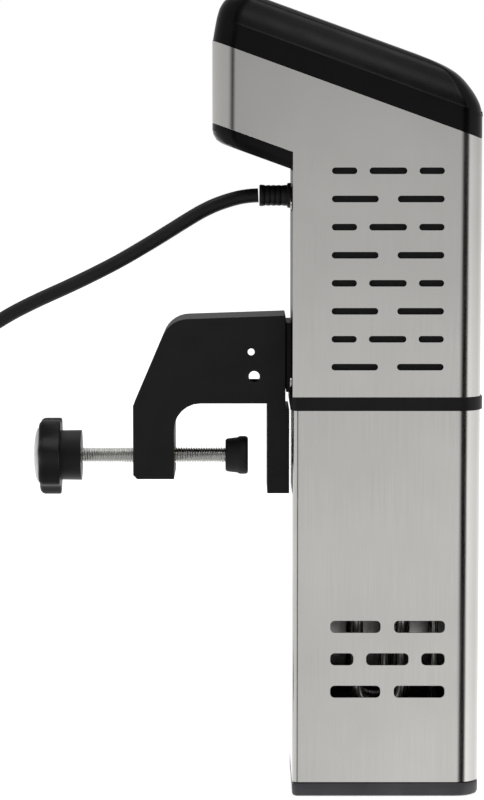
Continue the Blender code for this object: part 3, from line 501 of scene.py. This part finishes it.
def upper_shell():
    """The folded head and tower: a steel tube cut to its outline, then slotted on both sides."""
    low, high = HEAD
    corners = {(right, back): CORNER_R for right in (False, True) for back in (False, True)}
    tall = (high.x, high.y, high.z + 40 * MM)
    bm = open_tube(column((low.x, low.y, low.z - 5 * MM), tall, corners, 14))
    made = walled(piece_from("upper_shell", bm, STAINLESS, "housing", "upper_housing"))
    tower_rear = SLEEVE[0].x
    left, right = low.x - 5 * MM, high.x + 5 * MM
    outline = [(tower_rear, low.z), (right, low.z), (right, seam_z(right)), (left, seam_z(left)),
               (left, TRIM_TOP - SLOPE * (left - tower_rear)), (tower_rear, TRIM_TOP)]
    cut_with(made, [profile_solid(outline, low.y - PAST, high.y + PAST)], "INTERSECT")
    rows = []
    for row in range(8):
        spans = THREE_VENTS if row % 2 == 0 else TWO_VENTS
        rows.append(slot_tool(spans, TOP_VENT_Z - VENT_PITCH * row, *VENT_SLOT,
                              low.y - PAST, high.y + PAST))
    cut_with(made, rows)


def sleeve_shell():
    """The removable steel sleeve, with water slots in one side."""
    low, high = SLEEVE
    corners = {(True, False): CORNER_R, (True, True): CORNER_R,
               (False, False): HEEL_R, (False, True): HEEL_R}
    bm = open_tube(column(low, high, corners, 14))
    made = walled(piece_from("sleeve_shell", bm, STAINLESS, "sleeve", "lower_sleeve"))
    rows = []
    for row, spans in enumerate((TWO_WATER, THREE_WATER, TWO_WATER)):
        rows.append(slot_tool(spans, TOP_WATER_Z - WATER_PITCH * row, *WATER_SLOT,
                              low.y - PAST, low.y + PAST))
    cut_with(made, rows)


# ---- Head cover and display ---------------------------------------------------------------
COVER_STEPS = [  # height over the seam, then rear, front and side insets, in mm
    (0.3, 0.3, 0, 0), (6.0, 1.2, 0, 0.05), (11.6, 2.2, 0, 0.15), (12.4, 2.4, 0.1, 0.28),
    (16.5, 3.5, 1.3, 1.15), (20.5, 5.4, 3.8, 2.2), (23.8, 7.8, 7.0, 2.95), (26.0, 10.0, 9.9, 3.5),
    (27.6, 12.2, 13.2, 4.3), (28.7, 15.0, 17.6, 5.8), (29.2, 18.0, 22.0, 7.8),
    (29.3, 21.0, 26.0, 10.0)]
COVER_RISE = 29.3 * MM
COVER_WALL = 1.2 * MM
SEAT_DEPTH = 0.9 * MM             # of the recess that holds the glass
SEAT_GAP = 0.3 * MM
GLASS_R = 6 * MM


def blended(rows, between):
    """Rows of numbers with Catmull-Rom rows added between them."""
    ends = [rows[0]] + rows + [rows[-1]]
    made = []
    for a, b, c, d in zip(ends, ends[1:], ends[2:], ends[3:]):
        for i in range(between):
            t = i / between
            made.append([0.5 * (2 * q + (r - p) * t + (2 * p - 5 * q + 4 * r - s) * t * t
                                + (3 * q - p - 3 * r + s) * t ** 3)
                         for p, q, r, s in zip(a, b, c, d)])
    return made + [list(rows[-1])]


def stacked(rim, steps, rear, front, half, segments=14, radius=CORNER_R):
    """A rounded outline extruded upwards step by step, drawn in at rear, front and sides."""
    corners = {(right, back): radius for right in (False, True) for back in (False, True)}
    bm = column((rear, -half, -1), (front, half, 0), corners, segments)
    bm.normal_update()
    bmesh.ops.delete(bm, geom=[v for v in bm.verts if v.co.z < -0.5], context="VERTS")
    bmesh.ops.delete(bm, geom=list(bm.faces), context="FACES_ONLY")
    edges = list(bm.edges)
    for _ in steps[1:]:
        grown = bmesh.ops.extrude_edge_only(bm, edges=edges)["geom"]
        fresh = [v for v in grown if isinstance(v, bmesh.types.BMVert)]
        edges = [e for e in grown if isinstance(e, bmesh.types.BMEdge) and e.is_boundary]
        bmesh.ops.translate(bm, verts=fresh, vec=(0, 0, 1))
        edges = [e for e in edges if e.verts[0] in fresh and e.verts[1] in fresh]
    if rim:
        bmesh.ops.edgeloop_fill(bm, edges=edges)
    for vert in bm.verts:
        height, rear_in, front_in, side_in = steps[round(vert.co.z)]
        along = (vert.co.x - rear) / (front - rear)
        vert.co.x = rear + rear_in + along * (front - front_in - rear - rear_in)
        vert.co.y *= (half - side_in) / half
        vert.co.z = height
    shear = Matrix.Identity(4)
    shear[2][0] = -SLOPE
    shear[2][3] = SEAM_AT_AXIS
    bmesh.ops.transform(bm, matrix=shear, verts=bm.verts)
    return bm


def head_cover():
    """Moulded cover of the head, rounded over to a flat top with a seat for the glass."""
    low, high = HEAD
    rows = [tuple(value * MM for value in row) for row in COVER_STEPS]
    bm = stacked(True, blended(rows, 3), low.x, high.x, high.y)
    made = piece_from("head_cover", bm, POLISHED, "housing", "top_cover", sharp=60)
    walled(made, COVER_WALL, False)
    seat = stacked(True, [(COVER_RISE - SEAT_DEPTH, 0, 0, 0), (COVER_RISE + 6 * MM, 0, 0, 0)],
                   GLASS[0].x - SEAT_GAP, GLASS[1].x + SEAT_GAP, GLASS[1].y + SEAT_GAP, 8,
                   GLASS_R + SEAT_GAP)
    bmesh.ops.holes_fill(seat, edges=[e for e in seat.edges if e.is_boundary])
    cut_with(made, [seat])


def display():
    """Touch glass with a lit temperature, a time, a minus and a plus mark lying on it."""
    low, high = GLASS
    rows = [(COVER_RISE - 0.8 * MM, 0, 0, 0), (COVER_RISE - 0.1 * MM, 0, 0, 0),
            (COVER_RISE + 0.2 * MM, 0.3 * MM, 0.3 * MM, 0.3 * MM)]
    bm = stacked(True, rows, low.x, high.x, high.y, 8, GLASS_R)
    bmesh.ops.holes_fill(bm, edges=[e for e in bm.edges if e.is_boundary])
    piece_from("touch_glass", bm, BLACK_GLASS, "housing", "display_panel")
    bm = bmesh.new()
    middle = (low.x + high.x) / 2
    for digits, x, height in (("600", middle - 14 * MM, 15 * MM), ("0130", middle + 9 * MM, 9 * MM)):
        width = height * 0.52
        step = height * 0.78
        for place, digit in enumerate(digits):
            y = (place - (len(digits) - 1) / 2) * step
            seven_segments(bm, digit, x, y, width, height)
    for y in (-14 * MM, 14 * MM):
        bar(bm, middle + 26 * MM, y, 1.2 * MM, 8 * MM)
    bar(bm, middle + 26 * MM, 14 * MM, 8 * MM, 1.2 * MM)
    piece_from("display_segments", bm, SEGMENT, "housing")


def bar(bm, x, y, along, across):
    """One thin lit bar lying on the sloping glass."""
    size = Matrix.Diagonal((along, across, 0.1 * MM, 1))
    tilt = Matrix.Rotation(math.atan(SLOPE), 4, "Y")
    lift = Matrix.Translation((x, y, seam_z(x) + COVER_RISE + 0.27 * MM))
    bmesh.ops.create_cube(bm, size=1, matrix=lift @ tilt @ size)


SEGMENTS_LIT = {"0": "abcdef", "1": "bc", "3": "abcdg", "6": "acdefg"}


def seven_segments(bm, digit, x, y, width, height):
    """A seven segment digit read from the front of the device, so its top is to the rear."""
    half, thick = height / 2, height * 0.11
    flat = {"a": -half, "g": 0, "d": half}
    upright = {"f": (-half / 2, -width / 2), "b": (-half / 2, width / 2),
               "e": (half / 2, -width / 2), "c": (half / 2, width / 2)}
    for name in SEGMENTS_LIT[digit]:
        if name in flat:
            bar(bm, x + flat[name], y, thick, width - 1.4 * thick)
        else:
            offset, side = upright[name]
            bar(bm, x + offset, y + side, half - 1.4 * thick, thick)


# ---- Clamp --------------------------------------------------------------------------------
AXIS_Z = (PAD[0].z + PAD[1].z) / 2
THREAD_PITCH = 1.25 * MM
HUB_R = (12.3 * MM, 12.5 * MM)    # at its two ends
CAP_SEAT_R = 13.85 * MM
BORE_R = 4.1 * MM


def threaded_rod():
    """M8 rod: one turn of the thread spun with a rise, then the ends faced flat."""
    low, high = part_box("clamp_screw")
    crest, root = 3.85 * MM, 3.2 * MM
    turns = int((high.x - low.x - 2 * MM) / THREAD_PITCH)
    start = low.x + 1 * MM
    bm = bmesh.new()
    points = [(crest, 0), (crest, 0.16), (root, 0.54), (root, 0.70), (crest, 1.0)]
    verts = [bm.verts.new((0, r, start + part * THREAD_PITCH)) for r, part in points]
    edges = [bm.edges.new(pair) for pair in zip(verts, verts[1:])]
    steps = 18 * turns
    bmesh.ops.spin(bm, geom=verts + edges, cent=(0, 0, 0), axis=(0, 0, 1),
                   angle=2 * math.pi * turns, steps=steps, dvec=(0, 0, THREAD_PITCH / 18))
    bmesh.ops.remove_doubles(bm, verts=bm.verts, dist=0.00002)
    for z, side in ((start + 1.2 * THREAD_PITCH, -1), (start + (turns - 0.2) * THREAD_PITCH, 1)):
        cut = bmesh.ops.bisect_plane(bm, geom=list(bm.verts) + list(bm.edges) + list(bm.faces),
                                     plane_co=(0, 0, z), plane_no=(0, 0, side), clear_outer=True)
        rim = [e for e in cut["geom_cut"] if isinstance(e, bmesh.types.BMEdge)]
        bmesh.ops.edgeloop_fill(bm, edges=rim)
    turn = Matrix.Translation((0, 0, AXIS_Z)) @ Matrix.Rotation(math.pi / 2, 4, "Y")
    bmesh.ops.transform(bm, matrix=turn, verts=bm.verts)
    piece_from("threaded_rod", bm, PLATED, "screw", "clamp_screw", sharp=40)


def star_knob():
    """Seven lobed knob with a domed outer edge and a round hub."""
    low, high = KNOB
    lobes, around = 7, 140
    mean, swell = 18.0 * MM, 1.6 * MM
    head_right = low.x + 10.8 * MM
    bm = bmesh.new()
    add_cylinder(bm, mean, head_right - low.x, ((low.x + head_right) / 2, 0, AXIS_Z), "x", around)
    for vert in bm.verts:
        turn = math.atan2(vert.co.y, AXIS_Z - vert.co.z)
        reach = mean + swell * math.cos(lobes * turn)
        vert.co.y = reach * math.sin(turn)
        vert.co.z = AXIS_Z - reach * math.cos(turn)
    for x, width, steps in ((low.x, 3.0 * MM, 6), (head_right, 0.9 * MM, 3)):
        rim = [e for e in bm.edges if all(abs(v.co.x - x) < 1e-6 for v in e.verts)]
        bmesh.ops.bevel(bm, geom=rim, offset=width, segments=steps, profile=0.5, affect="EDGES",
                        material=-1)
    made = piece_from("star_knob", bm, TEXTURED, "screw", "clamp_knob", sharp=50)
    hub = bmesh.new()
    add_cylinder(hub, HUB_R[0], high.x - low.x - 5 * MM, ((high.x + low.x + 5 * MM) / 2, 0, AXIS_Z),
                 "x", 64, HUB_R[1])
    cut_with(made, [hub], "UNION")
    seat, bore = bmesh.new(), bmesh.new()
    add_cylinder(seat, CAP_SEAT_R, 2 * MM, (low.x, 0, AXIS_Z), "x", 64)
    add_cylinder(bore, BORE_R, 30 * MM, (high.x, 0, AXIS_Z), "x", 48)
    cut_with(made, [seat, bore])
    soften(made, 0.5 * MM, 2, 40)


def knob_cap():
    """Shallow domed cap pressed into the knob's outer face, its light grey a painted highlight for the
    grazing reflection on the knob's end.
    """
    low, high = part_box("knob_cap")
    radius = (high.z - low.z) / 2
    rise = high.x - low.x
    profile = [(0, -rise)]
    for i in range(1, 13):
        turn = math.radians(7.5 * i)
        profile.append((radius * math.sin(turn), -rise + 2.4 * MM * (1 - math.cos(turn))))
    profile += [(radius, 0), (0, 0)]
    bm = turned(profile, (high.x, 0, AXIS_Z), "x", 64)
    # the cap's light grey finish is a painted highlight, not the colour of the knob's end
    piece_from("domed_cap", bm, CAP_PAINTED_HIGHLIGHT, "screw", "knob_cap", sharp=50)


def swivel_pad():
    """Rubber faced pressure pad with a rim and a chamfered back."""
    low, high = PAD
    front, back = high.x, low.x
    profile = [(0, front), (8.2 * MM, front), (8.9 * MM, front - 0.2 * MM), (9.3 * MM, front - 0.7 * MM),
               (9.5 * MM, front - 1.5 * MM), (9.5 * MM, front - 4.0 * MM), (9.2 * MM, front - 4.8 * MM),
               (8.9 * MM, front - 5.2 * MM), (8.3 * MM, back + 1.2 * MM), (8.0 * MM, back + 0.5 * MM),
               (7.4 * MM, back), (4.3 * MM, back), (4.3 * MM, back + 6.8 * MM), (0, back + 6.8 * MM)]
    bm = turned(profile, (0, 0, AXIS_Z), "x", 64)
    piece_from("swivel_pad", bm, RUBBER, "pad", "pressure_pad", sharp=40)


# ---- Cord ---------------------------------------------------------------------------------
CORD_DIAMETER = 7 * MM
CORD_ROUTE = [  # mm, from the gland to where the coil begins
    (-62.5, 0, 294.2), (-67.4, 0, 293.9), (-73.6, 0, 292.8), (-81.9, 0, 290.2), (-88.9, 0, 287.1),
    (-96.5, 0, 282.8), (-115.1, -0.5, 271.3), (-132.5, -1, 261.2), (-152.4, -1.5, 251.2),
    (-174.5, -2.5, 241.1), (-189.2, -3.5, 233.3), (-203, -4.5, 223.8), (-214.8, -6, 212),
    (-223.8, -8, 197.5), (-229.8, -10.5, 180), (-233, -13, 159), (-234.3, -15.5, 135),
    (-234.6, -18, 110), (-234.6, -20, 85), (-234.6, -21.8, 64), (-234.6, -22.8, 45.2),
    (-237.6, -23.4, 29.9), (-246.1, -23.7, 16.9), (-259.1, -23.7, 8.2), (-274.4, -23.7, 5.2)]
COIL_TURNS = 3.5
COIL_STEP = 7.15 * MM             # from one cord to the next in the coil
CROSSING = 60                     # degrees of each turn in which the cord changes place


def coil_point(degrees):
    """A point of the coil, which runs clockwise from its near side, two wide and two high."""
    middle = (RING[0] + RING[1]) / 2
    inner = (RING[1].x - RING[0].x) / 2 - COIL_STEP - 3.75 * MM
    lower, upper = RING[0].z + 3.55 * MM, RING[0].z + 3.55 * MM + COIL_STEP
    turn, rest = divmod(degrees, 360)
    across = max(0, (rest - 360 + CROSSING) / CROSSING)
    ease = across * across * (3 - 2 * across)
    gap = COIL_STEP * (1 - ease)
    climb = math.sqrt(max(0, COIL_STEP ** 2 - gap ** 2))
    away = math.sqrt(max(0, COIL_STEP ** 2 - (COIL_STEP - climb) ** 2))
    radius, z = ((inner + gap, lower), (inner, lower + climb), (inner + away, upper),
                 (inner + COIL_STEP, upper))[int(turn)]
    angle = math.radians(-90 - degrees)
    return Vector((middle.x + radius * math.cos(angle), middle.y + radius * math.sin(angle), z))


def cord_points():
    """The whole route: hanging stretch, coil, and the tail into the plug's boot."""
    route = blended([tuple(value * MM for value in point) for point in CORD_ROUTE], 4)
    coil = [coil_point(degree) for degree in range(0, int(360 * COIL_TURNS) + 1, 9)]
    for _ in range(4):
        inside = [(a + 2 * b + c) / 4 for a, b, c in zip(coil, coil[1:], coil[2:])]
        coil = [coil[0]] + inside + [coil[-1]]
    tail = [coil[-1] + Vector((step * MM, 0, 0)) for step in (10, 20, 31)]
    lead_in = coil[0] + Vector((12 * MM, 0, 0))
    return [Vector(point) for point in route] + [lead_in] + coil + tail


def mains_cord():
    """The cord as one round tube along its route and coil."""
    path = bpy.data.curves.new("mains_cord", "CURVE")
    path.dimensions = "3D"
    path.bevel_depth = CORD_DIAMETER / 2
    path.bevel_resolution = 6
    path.use_fill_caps = True
    points = cord_points()
    spline = path.splines.new("POLY")
    spline.points.add(len(points) - 1)
    for target, point in zip(spline.points, points):
        target.co = (*point, 1)
    spline.use_smooth = True
    path.materials.append(PVC)
    made = bpy.data.objects.new("mains_cord", path)
    bpy.context.scene.collection.objects.link(made)
    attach(made, "housing")
    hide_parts("power_cord", "cord_coil")
    return made


def strain_relief():
    """Tapered relief with a flange, four flexing grooves and a slight flare at its mouth."""
    low, high = GLAND
    mouth, seat = low.x, high.x
    grip = (-46.3 * MM, -43.2 * MM)   # neck that the rear panel closes round
    profile = [(3.6 * MM, mouth + 2.5 * MM), (3.7 * MM, mouth), (5.0 * MM, mouth),
               (5.35 * MM, mouth + 0.5 * MM), (5.3 * MM, mouth + 1.8 * MM)]
    for ring in range(4):
        x = mouth + (2.6 + 2.6 * ring) * MM
        profile += [(5.1 * MM, x), (4.9 * MM, x + 0.3 * MM), (4.9 * MM, x + 0.8 * MM),
                    (5.1 * MM, x + 1.1 * MM)]
    profile += [(5.2 * MM, -48.4 * MM), (6.0 * MM, -48.1 * MM), (6.2 * MM, -47.6 * MM),
                (6.2 * MM, grip[0]), (4.3 * MM, grip[0]), (4.3 * MM, grip[1]), (6.4 * MM, grip[1]),
                (6.4 * MM, seat), (3.6 * MM, seat), (3.6 * MM, mouth + 2.5 * MM)]
    bm = turned(profile, (0, 0, (low.z + high.z) / 2), "x", 48)
    piece_from("strain_relief", bm, PVC, "housing", "cord_gland", sharp=40)


def mains_plug():
    """Moulded plug: waisted grip, ribbed boot, two blades with holes and an earth pin."""
    low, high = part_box("plug_body")
    middle = (low + high) / 2
    shoulder = -250 * MM
    half_y, half_z = (high.y - low.y) / 2, (high.z - low.z) / 2
    bm = bmesh.new()
    size = Matrix.Diagonal((high.x - shoulder, 2 * half_y, 2 * half_z, 1))
    centre = Matrix.Translation(((high.x + shoulder) / 2, middle.y, middle.z))
    bmesh.ops.create_cube(bm, size=1, matrix=centre @ size)
    bmesh.ops.subdivide_edges(bm, edges=bm.edges, cuts=4, use_grid_fill=True)
    for vert in bm.verts:
        part = (vert.co.x - shoulder) / (high.x - shoulder)
        squeeze = 1 - 0.16 * math.sin(math.pi * min(1, part * 1.25)) - 0.18 * (1 - part) ** 3
        vert.co.y = middle.y + (vert.co.y - middle.y) * squeeze
        vert.co.z = middle.z + (vert.co.z - middle.z) * (1 - 0.25 * (1 - part) ** 2)
    made = piece_from("plug_moulding", bm, PVC, "housing", "plug_body", sharp=60)
    soften(made, 2.6 * MM, 4, 50)
    profile = [(3.6 * MM, low.x), (5.4 * MM, low.x)]
    for ring in range(6):
        x = low.x + (2.2 + 3.0 * ring) * MM
        reach = (5.6 + 0.42 * ring) * MM
        profile += [(reach, x), (reach - 0.6 * MM, x + 0.3 * MM), (reach - 0.6 * MM, x + 1.1 * MM),
                    (reach + 0.1 * MM, x + 1.4 * MM)]
    profile += [(8.3 * MM, shoulder + 2 * MM), (3.6 * MM, shoulder + 2 * MM), (3.6 * MM, low.x)]
    boot = piece_from("plug_boot", turned(profile, (0, middle.y, middle.z), "x", 40), PVC, "housing",
                      sharp=40)
    pins = [made, boot]
    for number in (1, 2):
        name = f"plug_blade_{number}"
        blade = from_frame(name, BRASS, "housing", name=f"blade_{number}")
        a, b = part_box(name)
        hole = bmesh.new()
        add_cylinder(hole, 1.5 * MM, 10 * MM, (b.x - 4 * MM, (a.y + b.y) / 2, (a.z + b.z) / 2), "y", 24)
        cut_with(blade, [hole])
        pins.append(soften(blade, 0.35 * MM, 2, 50))
    pins.append(from_frame("plug_earth_pin", BRASS, "housing", 1.2 * MM, 4, "earth_pin"))
    return pins


def coil_tie():
    """Rubber strap round the coil, its edges just rounded."""
    return from_frame("cord_tie", RUBBER, "housing", 0.3 * MM, 2, "tie_strap")


# ---- Pieces kept from the frame -----------------------------------------------------------
# node: material, body, edge radius in mm
KEPT = {
    "clamp_bracket": (NYLON, "housing", 0.9), "clamp_mount_plate": (NYLON, "housing", 0.4),
    "rear_panel": (TEXTURED, "housing", 0.3), "head_trim": (POLISHED, "housing", 0.5),
    "mid_collar": (TEXTURED, "housing", 0.5), "base_cap": (GREY, "sleeve", 0.4),
    "vent_screen_left": (RUBBER, "housing", 0), "vent_screen_right": (RUBBER, "housing", 0),
    "control_board": (MASK, "housing", 0), "power_board": (MASK, "housing", 0),
    "power_transformer": (WINDING, "housing", 0.4), "heat_sink": (ALUMINIUM, "housing", 0.2),
    "motor_can": (DRAWN, "housing", 1.0), "motor_bracket": (DRAWN, "housing", 0.4),
    "motor_post_1": (BRASS, "housing", 0.3), "motor_post_2": (BRASS, "housing", 0.3),
    "motor_post_3": (BRASS, "housing", 0.3), "motor_post_4": (BRASS, "housing", 0.3),
    "motor_bearing": (RUBBER, "housing", 0.3), "shaft_seal": (RUBBER, "housing", 0.3),
    "sleeve_seal": (RUBBER, "housing", 0.3), "threaded_insert": (BRASS, "housing", 0.4),
    "heater_nut_1": (BRASS, "housing", 0.5), "heater_nut_2": (BRASS, "housing", 0.5),
    "temperature_probe": (DRAWN, "housing", 0.3), "level_probe_low": (DRAWN, "housing", 0.3),
    "level_probe_high": (DRAWN, "housing", 0.3), "drive_shaft": (DRAWN, "rotor", 0.4),
    "impeller": (TEXTURED, "rotor", 0.25), "cooling_fan": (TEXTURED, "rotor", 0.25),
    "bracket_screw_1": (PLATED, "housing", 0.2), "bracket_screw_2": (PLATED, "housing", 0.2)}


def kept_pieces():
    """Every piece whose CAD shape is already right, given its finish and its edges."""
    for node_name, (finish, body, width) in KEPT.items():
        from_frame(node_name, finish, body, width * MM)


def heater_tube():
    """The heater again as a smooth bent tube, since the frame's has eight sides."""
    low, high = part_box("heater_element")
    radius = 3.5 * MM
    x0, x1 = low.x + radius, high.x - radius
    bend = (x1 - x0) / 2
    middle = (x0 + x1) / 2
    y = high.y - radius
    foot, top = low.z + radius + bend, 150 * MM
    points = [(x0, -y, high.z), (x0, -y, foot)]
    points += [(middle - bend * math.cos(a), -y, foot - bend * math.sin(a)) for a in sweep(16)]
    points += [(x1, -y, foot), (x1, -y, top)]
    points += [(x1, -y * math.cos(a), top + y * math.sin(a)) for a in sweep(24)]
    points += [(x1, y, top), (x1, y, foot)]
    points += [(middle + bend * math.cos(a), y, foot - bend * math.sin(a)) for a in sweep(16)]
    points += [(x0, y, foot), (x0, y, high.z)]
    path = bpy.data.curves.new("heater_tube", "CURVE")
    path.dimensions = "3D"
    path.bevel_depth = radius
    path.bevel_resolution = 6
    path.use_fill_caps = True
    spline = path.splines.new("POLY")
    spline.points.add(len(points) - 1)
    for target, point in zip(spline.points, points):
        target.co = (*point, 1)
    path.materials.append(DRAWN)
    made = bpy.data.objects.new("heater_tube", path)
    bpy.context.scene.collection.objects.link(made)
    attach(made, "housing")
    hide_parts("heater_element")


def sweep(steps):
    """Angles strictly between 0 and half a turn."""
    return [math.pi * i / steps for i in range(1, steps)]


RECESS_DEPTH, RECESS_LENGTH, RECESS_WIDTH = 1.2 * MM, 3.2 * MM, 0.7 * MM


def panel_screw_heads():
    """Pan head screws with a cross recess, cut by two bars."""
    for number in range(1, 5):
        name = f"panel_screw_{number}"
        low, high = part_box(name)
        y, z = (low.y + high.y) / 2, (low.z + high.z) / 2
        made = from_frame(name, PLATED, "housing", name=f"panel_screw_head_{number}")
        bars = []
        for across, up in ((RECESS_LENGTH, RECESS_WIDTH), (RECESS_WIDTH, RECESS_LENGTH)):
            scale = Matrix.Diagonal((RECESS_DEPTH, across, up, 1))
            bars.append(bmesh.new())
            bmesh.ops.create_cube(bars[-1], size=1, matrix=Matrix.Translation((low.x, y, z)) @ scale)
        cut_with(made, bars)
        soften(made, 0.2 * MM, 2, 40)


# ---- Camera, light and floor --------------------------------------------------------------
CAMERA_AT = Vector((-70.6 * MM, -1.44, 330 * MM))
CAMERA_AIM = Vector((-70.6 * MM, -39 * MM, 196 * MM))


def camera():
    """At the height of the head, aimed a little down at the device's slotted side."""
    lens = bpy.data.cameras.new("camera")
    lens.sensor_fit = "VERTICAL"
    lens.sensor_height = 36
    lens.lens = 130.4
    made = bpy.data.objects.new("camera", lens)
    made.location = CAMERA_AT
    made.rotation_euler = (CAMERA_AIM - CAMERA_AT).to_track_quat("-Z", "Y").to_euler()
    bpy.context.scene.collection.objects.link(made)
    bpy.context.scene.camera = made


def area_light(name, place, aim, size, power):
    """A soft box, aimed at a point."""
    lamp = bpy.data.lights.new(name, "AREA")
    lamp.shape = "RECTANGLE"
    lamp.size, lamp.size_y = size
    lamp.energy = power
    made = bpy.data.objects.new(name, lamp)
    made.location = place
    made.rotation_euler = (Vector(aim) - Vector(place)).to_track_quat("-Z", "Y").to_euler()
    bpy.context.scene.collection.objects.link(made)


def lit_paper():
    """Seamless white backing paper, lit until no shading is left on it."""
    made, tree, shader = surface("lit_paper", "#F2F2F2", 0.9)
    vary_colour(tree, shader, grain(tree, 2), "#F0F0F0", "#F4F4F4")
    shader.inputs["Emission Color"].default_value = (1, 1, 1, 1)
    shader.inputs["Emission Strength"].default_value = 0.7
    return made


def floor():
    """Flat backing under the device, kept out of what the steel reflects."""
    bm = bmesh.new()
    bmesh.ops.create_grid(bm, x_segments=1, y_segments=1, size=6)
    bmesh.ops.translate(bm, verts=bm.verts, vec=(0, 0, -0.2 * MM))
    mesh = bpy.data.meshes.new("floor")
    bm.to_mesh(mesh)
    bm.free()
    mesh.materials.append(lit_paper())
    made = bpy.data.objects.new("floor", mesh)
    made.visible_glossy = False
    bpy.context.scene.collection.objects.link(made)


REFLECTED = [  # degrees round from the camera's side, brightness
    (-150, 0.8), (-70, 0.62), (-36, 0.6), (-28, 0.38), (-21, 0.1), (-15, 0.0), (-11, 0.0), (-8, 0.56),
    (11, 0.66), (17, 0.3), (21, 0.0), (46, 0.0), (52, 0.95), (75, 0.8), (110, 0.7)]


def studio():
    """White surroundings, with soft dark bands for the steel to reflect, and two soft boxes."""
    world = bpy.data.worlds.new("studio")
    world.use_nodes = True
    tree = world.node_tree
    tree.nodes.clear()
    sight = node(tree, "ShaderNodeTexCoord")
    parts = node(tree, "ShaderNodeSeparateXYZ", Vector=sight.outputs["Generated"])
    round_z = node(tree, "ShaderNodeMath", {"operation": "ARCTAN2"}, _0=parts.outputs["X"])
    flipped = node(tree, "ShaderNodeMath", {"operation": "MULTIPLY"}, _0=parts.outputs["Y"], _1=-1.0)
    tree.links.new(flipped.outputs[0], round_z.inputs[1])
    turn = node(tree, "ShaderNodeMapRange", Value=round_z.outputs[0])
    turn.inputs["From Min"].default_value = -math.pi
    turn.inputs["From Max"].default_value = math.pi
    bands = node(tree, "ShaderNodeValToRGB", Fac=turn.outputs["Result"])
    ramp = bands.color_ramp
    ramp.elements[0].position, ramp.elements[0].color = 0.0, (0.9, 0.9, 0.9, 1)
    ramp.elements[1].position, ramp.elements[1].color = 1.0, (0.9, 0.9, 0.9, 1)
    for degrees, level in REFLECTED:
        stop = ramp.elements.new(0.5 + degrees / 360)
        stop.color = (level, level, level, 1)
    fall = node(tree, "ShaderNodeMapRange", {"interpolation_type": "SMOOTHSTEP"},
                Value=parts.outputs["Z"])
    for socket, value in (("From Min", -0.13), ("From Max", 0.06), ("To Min", 1.52), ("To Max", 0.76)):
        fall.inputs[socket].default_value = value
    graded = node(tree, "ShaderNodeVectorMath", {"operation": "SCALE"}, Scale=fall.outputs["Result"])
    tree.links.new(bands.outputs["Color"], graded.inputs[0])
    shown = node(tree, "ShaderNodeLightPath")
    colour = node(tree, "ShaderNodeMix", {"data_type": "RGBA"}, _0=shown.outputs["Is Camera Ray"])
    tree.links.new(graded.outputs["Vector"], colour.inputs[6])
    colour.inputs[7].default_value = (1.0, 1.0, 1.0, 1)
    sky = node(tree, "ShaderNodeBackground", Color=colour.outputs[2], Strength=1.0)
    node(tree, "ShaderNodeOutputWorld", Surface=sky.outputs["Background"])
    bpy.context.scene.world = world
    area_light("key", (0.5, -1.2, 1.6), (0, 0, 0.2), (0.9, 0.9), 9)
    area_light("top", (-0.1, 0.1, 1.7), (0, 0, 0.2), (1.2, 1.2), 8)
    bpy.context.scene.view_settings.view_transform = "Standard"


def main():
    """Set up the camera, every piece and the studio."""
    camera()
    cord = mains_cord()
    pins = mains_plug()
    tie = coil_tie()
    strain_relief()
    upper_shell()
    sleeve_shell()
    head_cover()
    display()
    threaded_rod()
    star_knob()
    knob_cap()
    swivel_pad()
    heater_tube()
    panel_screw_heads()
    kept_pieces()
    studio()
    floor()


main()
